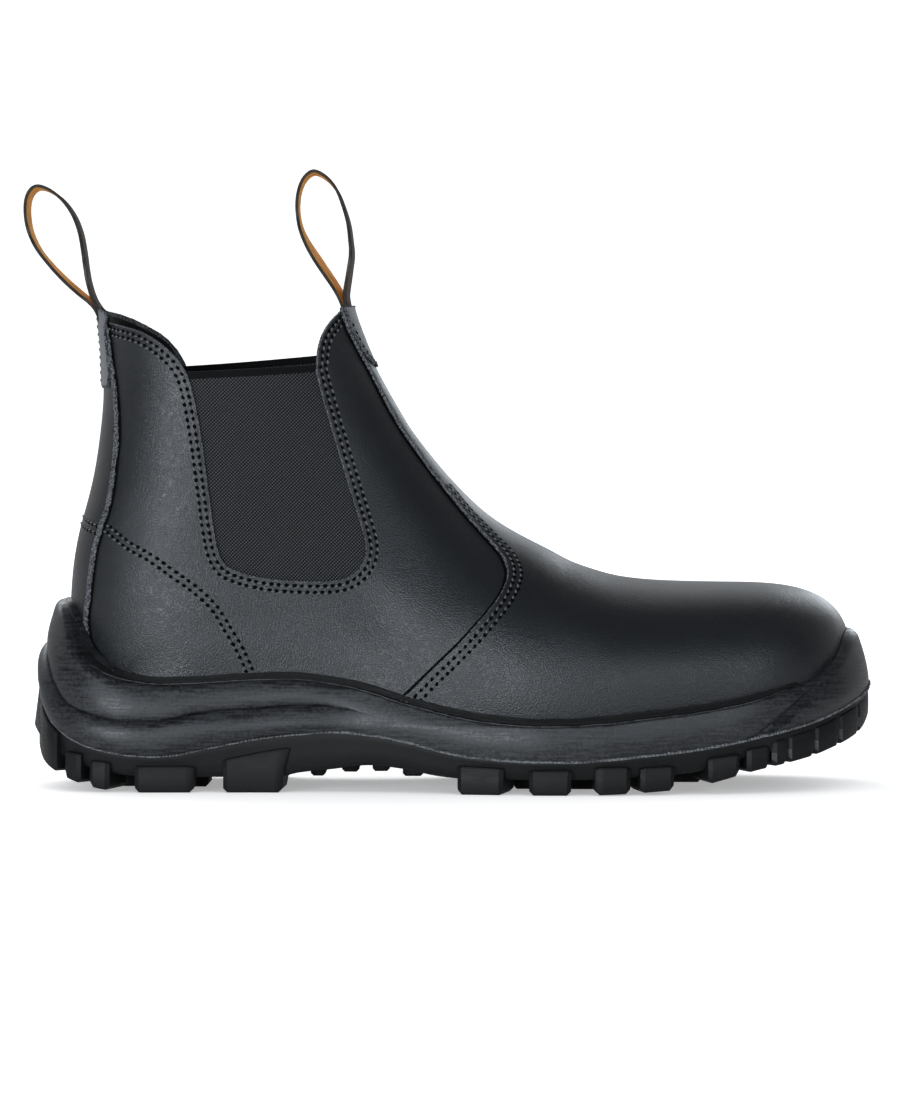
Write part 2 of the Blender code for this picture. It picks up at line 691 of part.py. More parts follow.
def lug_blocks():
    """All the tread blocks, as uncut upright prisms."""
    bm = bmesh.new()
    for start, end in SIDE_LUGS:
        for side in (LATERAL, MEDIAL):
            ends = []
            for x in (start, end):
                point, normal = outline_point(x, side), outline_normal(x, side)
                ends.append((point + normal * 6, point - normal * SIDE_LUG_REACH))
            (out_a, in_a), (out_b, in_b) = ends
            corners = [out_a, out_b, in_b, in_a]
            lug_prism(bm, corners if side == LATERAL else corners[::-1], -5, 45)
    for start, end, half in MIDDLE_LUGS:
        shift = along(SOLE_SWING, (start + end) / 2, "y")
        corners = [
            Vector((start, shift - half, 0)), Vector((end, shift - half, 0)),
            Vector((end, shift + half, 0)), Vector((start, shift + half, 0)),
        ]
        lug_prism(bm, corners, -5, 45)
    return bm


def lug_form_rings():
    """The form that the tread blocks are cut from: the tread and a wall that stands proud."""

    def inset(x, side):
        return -LUG_PROUD * eased(min(x, LENGTH - x), 0, 12)

    low = ring(lambda x: along(TREAD, x), lambda x, side: inset(x, side) + 0.6)
    edge = ring(lambda x: along(TREAD, x) + 0.9, inset)
    high = ring(lambda x: along(TREAD, x) + along(LUG_RISE, x), inset)
    return [low, edge, high]


def build_outsole(parts, cutters, root):
    """Rubber outsole: a plate with a raised rim, tread blocks and bars across the waist."""
    rubber = make_material("outsole", (0.016, 0.017, 0.018), 0.6)

    def rim(width):
        return lambda x, side: width + lean(x, along(PARTING_LINE, x))

    rings = [
        ring(lambda x: along(UNDERSIDE, x), lambda x, side: 2.4),
        ring(lambda x: along(UNDERSIDE, x) + 2.0, lambda x, side: 0.5),
        ring(lambda x: along(PARTING_LINE, x), rim(0)),
        ring(lambda x: along(PARTING_LINE, x), rim(RIM_LEDGE)),
        ring(lambda x: along(SEAT, x), rim(RIM_WIDTH)),
    ]
    outsole = make_object("outsole", mesh_from("outsole", stack_rings(rings)), parts, root, rubber)

    blocks = make_cutter("lug_blocks", mesh_from("lug_blocks", lug_blocks()), cutters, root)
    lugs = make_cutter("lugs", mesh_from("lugs", stack_rings(lug_form_rings())), cutters, root)
    add_boolean(lugs, blocks, "INTERSECT", touching=True)
    add_boolean(outsole, lugs, "UNION")

    bars = bmesh.new()
    for start, end in WAIST_BARS:
        middle = (start + end) / 2
        lateral = WAIST_BAR_SHARE * along(SOLE_PLAN, middle, "lateral")
        medial = WAIST_BAR_SHARE * along(SOLE_PLAN, middle, "medial")
        plan = ((start, -lateral), (end, -lateral), (end, medial), (start, medial))
        corners = [Vector((x, y, 0)) for x, y in plan]
        low = along(UNDERSIDE, middle) - WAIST_BAR_DROP
        lug_prism(bars, corners, low, low + WAIST_BAR_DROP + 4)
    waist = make_cutter("waist_bars", mesh_from("waist_bars", bars), cutters, root)
    add_boolean(outsole, waist, "UNION")
    smooth_shade(outsole)
    return outsole


def build_insole(parts, root):
    """Removable insole: a plate inside the upper, on the midsole's floor."""
    felt = make_material("insole", (0.05, 0.05, 0.055), 0.9)
    lateral, medial = [], []
    for station in stations():
        points = section_points(station)
        lateral.append(points[0])
        medial.append(points[-1])
        if last_section(station).feather == 0 and station > 0:
            break
    edge = lateral[::-1] + [(lateral[0] + medial[0]) / 2] + medial[:-1]
    normals = outward_normals(edge)
    rings = []
    for rise, inset in INSOLE_PROFILE:
        inset += WALL + INSOLE_CLEARANCE
        rings.append([p - n * inset + Vector((0, 0, rise - FLOOR_DROP)) for p, n in zip(edge, normals)])
    insole = make_object("insole", mesh_from("insole", stack_rings(rings)), parts, root, felt)
    smooth_shade(insole)
    return insole


# Pull loops


def band_outlines(route):
    """Outer and inner edge of a webbing loop whose sewn ends are pressed together."""
    outer, inner = [], []
    points = [Vector(p) for p in route]
    for i, point in enumerate(points):
        tangent = (points[min(i + 1, len(points) - 1)] - points[max(i - 1, 0)]).normalized()
        across = Vector((-tangent.y, tangent.x)) * WEBBING_THICKNESS / 2
        outer.append(point + across)
        inner.append(point - across)
    return outer, inner


def build_loop(name, route, parts, root):
    """Pull loop: one band of webbing, folded over, seen as a ring from the side."""
    webbing = make_material(name, (0.09, 0.085, 0.08), 0.85)
    outer, inner = band_outlines(route)
    centre = sum(inner, Vector((0, 0))) / len(inner)
    if (outer[5] - centre).length < (inner[5] - centre).length:
        outer, inner = inner, outer
    joined = 2
    hole = inner[joined:-joined]
    curve = bpy.data.curves.new(name, "CURVE")
    curve.dimensions = "2D"
    curve.fill_mode = "BOTH"
    curve.extrude = WEBBING_WIDTH / 2 * MM
    for edge in (outer, hole):
        spline = curve.splines.new("POLY")
        spline.points.add(len(edge) - 1)
        for slot, point in zip(spline.points, edge):
            slot.co = (point.x * MM, point.y * MM, 0, 1)
        spline.use_cyclic_u = True
    loop = make_object(name, curve, parts, root, webbing)
    loop.rotation_euler = (math.pi / 2, 0, 0)
    return loop


def main():
    clear_scene()
    parts = make_collection("safety_boot")
    cutters = make_collection("safety_boot_cutters")
    root = bpy.data.objects.new("boot_frame", None)
    parts.objects.link(root)
    root.location = (-FRAME_X * MM, -FRAME_Y * MM, 0)
    build_outsole(parts, cutters, root)
    build_midsole(parts, cutters, root)
    build_upper(parts, cutters, root)
    build_gore("gore_lateral", LATERAL, parts, cutters, root)
    build_gore("gore_medial", MEDIAL, parts, cutters, root)
    build_insole(parts, root)
    build_loop("pull_loop_rear", REAR_LOOP, parts, root)
    build_loop("pull_loop_front", FRONT_LOOP, parts, root)


main()
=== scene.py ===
"""Pull-on safety boot, standing empty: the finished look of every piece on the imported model.

Sizes are in millimetres from the back of the heel (x), the line of the last (y, medial side
positive) and the floor (z), and each finished piece is placed in the model's own frame.
"""

import math

import bmesh
import bpy
import numpy as np
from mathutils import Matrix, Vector
from mathutils.bvhtree import BVHTree


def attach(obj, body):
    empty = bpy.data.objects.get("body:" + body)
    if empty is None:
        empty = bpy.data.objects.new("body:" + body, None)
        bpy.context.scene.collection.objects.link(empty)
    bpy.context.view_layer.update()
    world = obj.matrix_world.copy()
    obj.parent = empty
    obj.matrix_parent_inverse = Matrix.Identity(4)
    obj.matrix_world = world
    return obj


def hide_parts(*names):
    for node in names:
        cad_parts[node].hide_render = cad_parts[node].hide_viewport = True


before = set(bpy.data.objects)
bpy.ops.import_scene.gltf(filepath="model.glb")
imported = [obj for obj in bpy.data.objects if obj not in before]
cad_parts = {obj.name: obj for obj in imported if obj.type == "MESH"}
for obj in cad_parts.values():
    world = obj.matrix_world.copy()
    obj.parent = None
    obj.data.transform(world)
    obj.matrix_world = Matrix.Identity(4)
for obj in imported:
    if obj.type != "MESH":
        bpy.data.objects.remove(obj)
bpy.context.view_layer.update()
scene = bpy.context.scene


# Floor, light and camera
# The boot stands on a plain pale sweep under large soft lights, and the sweep's glow is dimmed round
# the boot in a painted contact shadow. The camera is 1.5 m off the lateral side, level with the ankle,
# with its lens dropped to hold the whole boot.

MM = 0.001
EYE_X, EYE_AWAY, EYE_Z = 154.1, 1500.0, 105.9
FRAME_MIDDLE = Vector((153.8, 0.3, 0.0))
PICTURE_HEIGHT, PICTURE_MIDDLE, SENSOR = 406.26, 87.1, 36.0
WHITE, SWEEP_COLOUR = (1.0, 1.0, 1.0, 1.0), (0.86, 0.86, 0.86, 1.0)
SWEEP_HALF, SWEEP_BEND, SWEEP_CURVE, SWEEP_TOP = 12.0, 1.6, 0.8, 4.0
# Reach and glow of the painted contact shadow on the sweep, and the sweep's glow in the open
CONTACT_SHADOW_REACH, CONTACT_SHADOW_GLOW, OPEN_GLOW = 0.16, 0.36, 0.84
ROOM_LIGHT, SWEEP_GLOW = 0.09, 0.24
# Each softbox: where it stands, the point it faces, its width and height, its watts and its colour
SOFTBOXES = {
    "back_softbox": ((-0.7, 1.3, 1.05), (0.0, 0.0, 0.0), (1.6, 0.6), 12.0, (0.92, 0.96, 1.0)),
    "front_softbox": ((-0.9, -1.8, 0.28), (0.0, 0.0, 0.08), (1.1, 0.5), 22.5, (0.87, 0.94, 1.0)),
    "rim_softbox": ((0.72, 1.75, 0.72), (0.0, 0.0, 0.1), (0.5, 0.8), 4.5, (0.85, 0.93, 1.0)),
    "fill_softbox": ((0.75, -1.9, 0.5), (0.0, 0.0, 0.06), (0.8, 0.5), 8.0, (0.87, 0.94, 1.0)),
    "heel_softbox": ((-1.6, -0.5, 0.6), (0.0, 0.0, 0.06), (0.5, 0.8), 0.3, (1.0, 1.0, 1.0)),
}


def add_node(tree, kind, links=None, **settings):
    """Add a node with its settings, and link or set its inputs by name or place."""
    made = tree.nodes.new(kind)
    for name, value in settings.items():
        setattr(made, name, value)
    for name, value in (links or {}).items():
        socket = made.inputs[name]
        if isinstance(value, bpy.types.NodeSocket):
            tree.links.new(value, socket)
        else:
            socket.default_value = value
    return made


def add_material(name, values):
    """Material with one Principled BSDF, whose plain values are set on its own sockets."""
    material = bpy.data.materials.new(name)
    material.use_nodes = True
    shader = material.node_tree.nodes["Principled BSDF"]
    for socket, value in values.items():
        shader.inputs[socket].default_value = value
    return material, material.node_tree, shader


def math_node(tree, operation, first, second=0.0):
    """Output of a math node with one or two inputs."""
    return add_node(tree, "ShaderNodeMath", {0: first, 1: second}, operation=operation).outputs[0]


def range_node(tree, value, ends=(0.0, 1.0), to=(0.0, 1.0), step="LINEAR"):
    """Output of a map range node, held between its ends."""
    sockets = {"Value": value, "From Min": ends[0], "From Max": ends[1], "To Min": to[0], "To Max": to[1]}
    return add_node(tree, "ShaderNodeMapRange", sockets, interpolation_type=step).outputs["Result"]


camera_data = bpy.data.cameras.new("camera")
camera_data.sensor_width = SENSOR
camera_data.lens = SENSOR * EYE_AWAY / PICTURE_HEIGHT
camera_data.shift_y = (PICTURE_MIDDLE - EYE_Z) / PICTURE_HEIGHT
camera = bpy.data.objects.new("camera", camera_data)
camera.location = ((EYE_X - FRAME_MIDDLE.x) * MM, -EYE_AWAY * MM, EYE_Z * MM)
camera.rotation_euler = (math.pi / 2, 0.0, 0.0)
scene.collection.objects.link(camera)
scene.camera = camera

sweep_mesh = bpy.data.meshes.new("sweep")
sweep_bm = bmesh.new()
profile = [(-SWEEP_HALF, 0.0), (SWEEP_BEND, 0.0)]
for angle in np.linspace(0.1, math.pi / 2, 14):
    profile.append((SWEEP_BEND + SWEEP_CURVE * math.sin(angle), SWEEP_CURVE * (1 - math.cos(angle))))
profile.append((SWEEP_BEND + SWEEP_CURVE, SWEEP_TOP))
edges = [[sweep_bm.verts.new((x, y, z)) for y, z in profile] for x in (-SWEEP_HALF, SWEEP_HALF)]
for k in range(len(profile) - 1):
    sweep_bm.faces.new((edges[0][k], edges[1][k], edges[1][k + 1], edges[0][k + 1]))
sweep_bm.to_mesh(sweep_mesh)
sweep_bm.free()
sweep_mesh.shade_smooth()
sweep_paint, tree, shader = add_material(
    "sweep_paint", {"Base Color": SWEEP_COLOUR, "Roughness": 0.9, "Emission Color": WHITE},
)
# The sweep's glow is dimmed where the boot closes it in: a painted contact shadow.
shadow_openness = add_node(tree, "ShaderNodeAmbientOcclusion", {"Distance": CONTACT_SHADOW_REACH}, samples=12)
glow = range_node(tree, shadow_openness.outputs["AO"], (0.1, 0.9), (CONTACT_SHADOW_GLOW, OPEN_GLOW))
path = add_node(tree, "ShaderNodeLightPath")
seen = range_node(tree, path.outputs["Is Camera Ray"], to=(SWEEP_GLOW, 1.0))
tree.links.new(math_node(tree, "MULTIPLY", glow, seen), shader.inputs["Emission Strength"])
sweep_mesh.materials.append(sweep_paint)
sweep = bpy.data.objects.new("sweep", sweep_mesh)
scene.collection.objects.link(sweep)

for name, (place, aim, size, watts, colour) in SOFTBOXES.items():
    light = bpy.data.lights.new(name, "AREA")
    light.shape = "RECTANGLE"
    light.size, light.size_y = size
    light.energy, light.color = watts, colour
    lamp = bpy.data.objects.new(name, light)
    lamp.location = place
    lamp.rotation_euler = (Vector(aim) - Vector(place)).to_track_quat("-Z", "Y").to_euler()
    scene.collection.objects.link(lamp)
world = bpy.data.worlds.new("studio")
scene.world = world
world.use_nodes = True
room = world.node_tree.nodes["Background"]
room.inputs["Color"].default_value = WHITE
path = add_node(world.node_tree, "ShaderNodeLightPath")
level = range_node(world.node_tree, path.outputs["Is Camera Ray"], to=(ROOM_LIGHT, 1.0))
world.node_tree.links.new(level, room.inputs["Strength"])
scene.view_settings.view_transform = "Standard"


# Quarters
# The two side panels of the upper, cut from smooth black leather, each with a deep opening for
# the gore. They are lasted round the foot, and the vamp and the back strip are sewn over them.

WALL, QUARTER_LIFT, EDGE_ROUND, QUARTER_RAGGED = 1.4, -1.5, 0.3, 0.15
UNDERLAP, UNDERLAP_SLOPE = 9.0, 0.35
LATERAL, MEDIAL = -1, 1

# Slices of the last, from the toe cap's back edge to above the collar. Each is cut straight across
# the boot, from a point on its top or front to a point on its bottom or back.
SLICE_NAMES = "x_top z_top x_bottom z_bottom lateral medial widest feather ridge".split()
SLICES = (
    (255.0, 75.1, 255.0, 23.6, 48.0, 50.2, 0.36, 0.94, 4.0),
    (233.0, 75.6, 232.0, 20.2, 50.8, 51.0, 0.37, 0.94, 5.0),
    (214.5, 77.6, 211.0, 17.9, 52.2, 50.4, 0.37, 0.94, 6.0),
    (200.0, 83.3, 191.0, 17.5, 51.6, 48.0, 0.37, 0.94, 6.0),
    (186.0, 89.8, 168.0, 18.8, 48.8, 45.0, 0.37, 0.94, 6.0),
    (174.0, 96.3, 144.0, 22.3, 44.0, 40.2, 0.37, 0.94, 5.0),
    (165.5, 102.5, 118.0, 25.6, 39.6, 36.2, 0.38, 0.93, 4.0),
    (158.0, 109.8, 92.0, 26.6, 37.4, 35.2, 0.38, 0.93, 3.0),
    (151.5, 117.0, 66.0, 26.6, 36.6, 35.4, 0.38, 0.94, 2.0),
    (146.0, 124.0, 42.0, 26.8, 36.2, 36.0, 0.38, 0.93, 1.3),
    (142.3, 129.0, 27.0, 27.2, 36.2, 36.2, 0.38, 0.66, 0.9),
    (140.2, 132.1, 20.6, 27.6, 36.2, 36.2, 0.38, 0.30, 0.7),
    (139.2, 133.7, 18.6, 28.6, 36.2, 36.2, 0.38, 0.0, 0.6),
    (136.5, 138.3, 15.6, 44.0, 36.0, 36.0, 0.38, 0.0, 0.3),
    (132.8, 144.8, 14.2, 60.0, 35.8, 35.8, 0.38, 0.0, 0.0),
    (129.6, 150.5, 14.8, 77.0, 35.4, 35.4, 0.40, 0.0, 0.0),
    (126.8, 156.0, 17.4, 93.4, 35.0, 35.0, 0.41, 0.0, 0.0),
    (124.3, 161.4, 20.8, 105.4, 34.8, 34.8, 0.42, 0.0, 0.0),
    (122.3, 166.5, 23.5, 117.4, 34.8, 34.8, 0.43, 0.0, 0.0),
    (120.5, 171.2, 25.4, 130.9, 35.0, 35.0, 0.44, 0.0, 0.0),
    (119.0, 175.9, 26.6, 144.9, 35.2, 35.2, 0.45, 0.0, 0.0),
    (117.8, 181.9, 26.2, 158.9, 35.4, 35.4, 0.46, 0.0, 0.0),
    (116.9, 187.9, 25.0, 171.9, 35.6, 35.6, 0.46, 0.0, 0.0),
    (116.2, 193.9, 23.6, 184.9, 35.8, 35.8, 0.46, 0.0, 0.0),
)
TOE_REACH, TOE_TIP_HEIGHT, TOE_END = 49.2, 41.0, 0.94
TOE_PLAN_POWER, TOE_PROFILE_POWER, TOE_FEATHER_RISE = 2.3, 3.25, 11.0
LOWER_POWER, UPPER_POWER = 2.2, 2.25
TOE_ROWS, LAST_ROWS, LOW_COLUMNS, UP_COLUMNS = 40, 210, 20, 30
EVENING, MERGE = 20, 0.03
SWING = {"x": (0, 190, 255, 310), "y": (0, 0, 3.0, 9.0)}

# Outlines as seen from the side, on the boot's middle plane
GORE_EDGE = (
    (58.3, 148.2), (61.8, 131.5), (64.8, 110.0), (67.3, 91.9), (69.9, 83.0), (74.7, 79.0), (85.8, 76.0),
    (99.2, 74.9), (110.3, 74.9), (116.5, 76.2), (120.9, 79.2), (123.5, 84.1), (123.6, 90.1),
    (120.6, 100.8), (115.4, 117.8), (109.9, 136.7), (105.6, 153.0),
)
COLLAR_BACK = (
    (16.0, 172.6), (27.3, 170.6), (33.7, 169.1), (39.9, 167.2), (46.0, 163.8), (50.9, 159.8),
    (54.6, 155.6),
)
GORE_EDGE_MEDIAL = ((54.4, 150.8), (59.4, 131.5), (63.6, 110.0)) + GORE_EDGE[3:]
COLLAR_BACK_MEDIAL = (
    (12.0, 174.6), (22.0, 175.0), (29.6, 175.0), (36.3, 172.4), (43.4, 168.6), (47.3, 165.0),
    (51.1, 159.8),
)
COLLAR_FRONT = ((105.8, 156.3), (106.6, 162.6), (108.8, 168.1), (112.5, 172.9), (115.1, 175.2))
VAMP_EDGE = (
    (115.4, 176.2), (117.6, 169.2), (126.5, 152.2), (136.2, 134.0), (148.0, 117.0), (159.8, 102.0),
    (167.6, 93.2), (173.6, 86.4), (176.2, 81.0), (176.0, 76.0), (171.8, 67.6), (160.0, 53.8),
    (148.0, 42.0), (139.0, 33.1), (129.0, 24.0),
)
STRIP_EDGE = (
    (24.6, 174.4), (26.2, 171.6), (26.8, 168.5), (28.3, 156.3), (29.9, 142.6), (30.3, 129.7), (29.1, 116.0),
    (27.2, 103.8), (24.3, 94.9), (21.7, 85.3), (19.9, 70.1), (18.9, 60.5), (19.7, 53.4), (20.7, 34.0),
)

# Soft troughs and swells of the worn-in leather: where each lies, its half length and half width,
# how it is turned, and how far it sinks or rises
CREASES = (
    (150.0, 62.0, 40.0, 16.0, -40.0, 0.9),
    (128.0, 66.0, 30.0, 9.0, -50.0, -0.7),
    (196.0, 76.0, 16.0, 7.0, 62.0, -0.8),
    (60.0, 56.0, 34.0, 14.0, 10.0, 0.7),
    (40.0, 104.0, 22.0, 9.0, 75.0, -0.6),
    (88.0, 62.0, 34.0, 6.0, 4.0, -0.5),
    (146.5, 95.0, 34.0, 13.0, -52.0, 2.2),
)


def along(table, at, column="z"):
    """Value of a table's column at a place, on a smooth curve that never overshoots its rows."""
    places, values = table["x"], table[column]
    if at <= places[0]:
        return values[0]
    if at >= places[-1]:
        return values[-1]
    spans = [after - before for before, after in zip(places, places[1:])]
    steps = [(after - before) / span for before, after, span in zip(values, values[1:], spans)]
    slopes = [steps[0]]
    for before, after in zip(steps, steps[1:]):
        slopes.append(0.0 if before * after <= 0 else 2 * before * after / (before + after))
    slopes.append(steps[-1])
    row = max(i for i in range(len(spans)) if places[i] <= at)
    t = (at - places[row]) / spans[row]
    return (
        values[row] * (1 + 2 * t) * (1 - t) ** 2
        + spans[row] * slopes[row] * t * (1 - t) ** 2
        + values[row + 1] * t * t * (3 - 2 * t)
        + spans[row] * slopes[row + 1] * t * t * (t - 1)
    )


def eased(value, start, end):
    """Smooth step from 0 at start to 1 at end."""
    t = min(1.0, max(0.0, (value - start) / (end - start)))
    return t * t * (3 - 2 * t)


def round_end(share, power):
    """Half width of a rounded end, 1 at its start and 0 at its tip."""
    return max(0.0, 1 - share**power) ** (1 / power)


def smooth_line(points, step=3.0):
    """Points every step along a smooth curve through a few points."""
    points = [Vector(p) for p in points]
    line = []
    for i in range(len(points) - 1):
        p0, p1 = points[max(i - 1, 0)], points[i]
        p2, p3 = points[i + 1], points[min(i + 2, len(points) - 1)]
        count = max(1, round((p2 - p1).length / step))
        for k in range(count):
            t = k / count
            line.append(0.5 * (
                2 * p1 + (p2 - p0) * t + (2 * p0 - 5 * p1 + 4 * p2 - p3) * t**2
                + (3 * p1 - p0 - 3 * p2 + p3) * t**3
            ))
    return line + [points[-1]]


SLICE_TABLE = {"x": tuple(range(len(SLICES)))}
SLICE_TABLE.update({name: tuple(s[k] for s in SLICES) for k, name in enumerate(SLICE_NAMES)})


def floor_height(x):
    """Height of the upper's bottom edge under the foot, from the waist to the toe."""
    base = SLICES[0]
    return base[3] + TOE_FEATHER_RISE * ((x - base[2]) / TOE_REACH) ** 1.15


def last_slice(station):
    """The last's slice at a station. Those below 0 round the toe, which would close at -1."""
    if station > 0:
        return {name: along(SLICE_TABLE, station, name) for name in SLICE_NAMES}
    share = math.sin(-station * math.pi / 2)
    s = dict(zip(SLICE_NAMES, SLICES[0]))
    x = s["x_top"] + TOE_REACH * share
    width = round_end(share, TOE_PLAN_POWER)
    rise = (s["z_top"] - TOE_TIP_HEIGHT) * round_end(share, TOE_PROFILE_POWER)
    s.update(x_top=x, x_bottom=x, z_top=TOE_TIP_HEIGHT + rise, z_bottom=floor_height(x))
    s.update(lateral=s["lateral"] * width, medial=s["medial"] * width)
    return s


def slice_points(station):
    """Points across the upper, from the lateral bottom edge over the top to the medial one."""
    s = last_slice(station)
    bottom, top = Vector((s["x_bottom"], 0, s["z_bottom"])), Vector((s["x_top"], 0, s["z_top"]))
    height = (top - bottom).length
    up = (top - bottom).normalized()
    widest = s["widest"] * height
    feather = max(0.0, s["feather"])
    drop = widest / (1 - feather**LOWER_POWER) ** (1 / LOWER_POWER)
    foot = math.acos(feather ** (LOWER_POWER / 2))
    swing = along(SWING, s["x_top"], "y")
    half = []
    for angle in np.linspace(foot, 0, LOW_COLUMNS + 1)[:-1]:
        width = math.cos(angle) ** (2 / LOWER_POWER)
        half.append((widest - drop * math.sin(angle) ** (2 / LOWER_POWER), width))
    for angle in np.linspace(0, math.pi / 2, UP_COLUMNS + 1):
        width = max(0.0, math.cos(angle)) ** (2 / UPPER_POWER)
        half.append((widest + (height - widest) * math.sin(angle) ** (2 / UPPER_POWER), width))
    half[-1] = (height, 0.0)
    if feather < 1e-6:
        half[0] = (0.0, 0.0)

    def place(rise, width):
        ridge = s["ridge"] * max(0.0, rise / height) ** 2
        return bottom + up * rise + Vector((0, swing + ridge + width, 0))

    lateral = [place(rise, -s["lateral"] * width) for rise, width in half]
    medial = [place(rise, s["medial"] * width) for rise, width in half[:-1]]
    return lateral + medial[::-1]


def crease(x, z):
    """How far the leather sinks or rises at a place in the side view."""
    total = 0.0
    for cx, cz, length, width, turn, depth in CREASES:
        c, s = math.cos(math.radians(turn)), math.sin(math.radians(turn))
        u, v = (x - cx) * c + (z - cz) * s, (z - cz) * c - (x - cx) * s
        total += depth * math.exp(-((u / length) ** 2) - (v / width) ** 2)
    return total


def last_sheet():
    """The upper's whole outer surface as an open sheet, evened out between the slices."""
    stations = [TOE_END * (i / TOE_ROWS - 1) for i in range(TOE_ROWS)]
    stations += [(len(SLICES) - 1) * i / LAST_ROWS for i in range(LAST_ROWS + 1)]
    grid = np.array([[tuple(p) for p in slice_points(s)] for s in stations])
    for _ in range(EVENING):
        grid[1:-1] = 0.25 * grid[:-2] + 0.5 * grid[1:-1] + 0.25 * grid[2:]
    for _ in range(EVENING // 3):
        grid[:, 1:-1] = 0.25 * grid[:, :-2] + 0.5 * grid[:, 1:-1] + 0.25 * grid[:, 2:]
    sheet = bmesh.new()
    rows = [[sheet.verts.new(p) for p in row] for row in grid]
    for row, after in zip(rows, rows[1:]):
        for j in range(len(row) - 1):
            sheet.faces.new((row[j], after[j], after[j + 1], row[j + 1]))
    bmesh.ops.remove_doubles(sheet, verts=sheet.verts, dist=MERGE)
    bmesh.ops.recalc_face_normals(sheet, faces=sheet.faces)
    if max(sheet.faces, key=lambda f: f.calc_center_median().y).normal.y < 0:
        bmesh.ops.reverse_faces(sheet, faces=sheet.faces)
    return sheet


def raise_sheet(sheet, lift):
    """Move a sheet's points along their normals, by a lift for each place in the side view."""
    sheet.normal_update()
    moves = [(v, v.normal * lift(v.co.x, v.co.z)) for v in sheet.verts]
    for vert, move in moves:
        vert.co += move
    return sheet


LAST_SHEET = raise_sheet(last_sheet(), crease)


def lifted_sheet(lift):
    """Copy of the last's surface, moved along its normals."""
    return raise_sheet(LAST_SHEET.copy(), lambda x, z: lift)


def in_side_view(point, side):
    """Where a point on one side of the boot shows in the side view, on the middle plane."""
    scale = EYE_AWAY / (EYE_AWAY - side * point.y)
    return Vector((EYE_X + (point.x - EYE_X) * scale, EYE_Z + (point.z - EYE_Z) * scale))


def inside(outline, point):
    """Whether a point lies inside a closed outline."""
    within = False
    for a, b in zip(outline, outline[1:] + outline[:1]):
        if (a.y > point.y) != (b.y > point.y):
            if point.x < a.x + (b.x - a.x) * (point.y - a.y) / (b.y - a.y):
                within = not within
    return within


def distance_to(a, b, point):
    """Distance from a point to a straight stretch."""
    run = b - a
    t = max(0.0, min(1.0, (point - a).dot(run) / max(run.length_squared, 1e-9)))
    return (point - a - run * t).length


CUT_MARGIN, CUT_RUN, CUT_REACH = 5.0, 4.0, 2.6


def cut_panel(sheet, outlines):
    """Cut a sheet along the outline drawn for each side's view, and keep what lies inside."""
    outlines = {side: [Vector(p) for p in outline] for side, outline in outlines.items()}
    dropped = []
    for face in sheet.faces:
        centre = face.calc_center_median()
        side = MEDIAL if centre.y > 0 else LATERAL
        if side not in outlines:
            dropped.append(face)
            continue
        seen, outline = in_side_view(centre, side), outlines[side]
        beyond_x = max(min(p.x for p in outline) - seen.x, seen.x - max(p.x for p in outline))
        beyond_z = max(min(p.y for p in outline) - seen.y, seen.y - max(p.y for p in outline))
        if max(beyond_x, beyond_z) > CUT_MARGIN:
            dropped.append(face)
    bmesh.ops.delete(sheet, geom=dropped, context="FACES")
    for side, outline in outlines.items():
        eye = Vector((EYE_X, side * EYE_AWAY, EYE_Z))
        centres = {}
        for face in sheet.faces:
            centre = face.calc_center_median()
            if centre.y * side >= -0.01:
                centres[face] = in_side_view(centre, side)
        for a, b in zip(outline, outline[1:] + outline[:1]):
            reach = (b - a).length + CUT_RUN
            near = [f for f, c in centres.items() if (c - a).length < reach]
            near = [f for f in near if distance_to(a, b, centres[f]) < CUT_REACH]
            if not near:
                continue
            start, end = Vector((a.x, 0, a.y)), Vector((b.x, 0, b.y))
            geometry = {e for f in near for e in f.edges} | {v for f in near for v in f.verts} | set(near)
            for face in near:
                del centres[face]
            made = bmesh.ops.bisect_plane(
                sheet, geom=list(geometry), dist=0.0005, plane_co=start,
                plane_no=(end - start).cross(start - eye),
            )
            for face in made["geom"]:
                if isinstance(face, bmesh.types.BMFace):
                    centres[face] = in_side_view(face.calc_center_median(), side)
    dropped = []
    for face in sheet.faces:
        centre = face.calc_center_median()
        side = MEDIAL if centre.y > 0 else LATERAL
        if not inside(outlines[side], in_side_view(centre, side)):
            dropped.append(face)
    bmesh.ops.delete(sheet, geom=dropped, context="FACES")
    bmesh.ops.dissolve_degenerate(sheet, edges=sheet.edges, dist=0.01)
    bmesh.ops.triangulate(sheet, faces=[f for f in sheet.faces if len(f.verts) > 4])
    kept, doubles = set(), []
    for face in sheet.faces:
        corners = frozenset(face.verts)
        if corners in kept:
            doubles.append(face)
        kept.add(corners)
    bmesh.ops.delete(sheet, geom=doubles, context="FACES")
    sheet.normal_update()
    return sheet


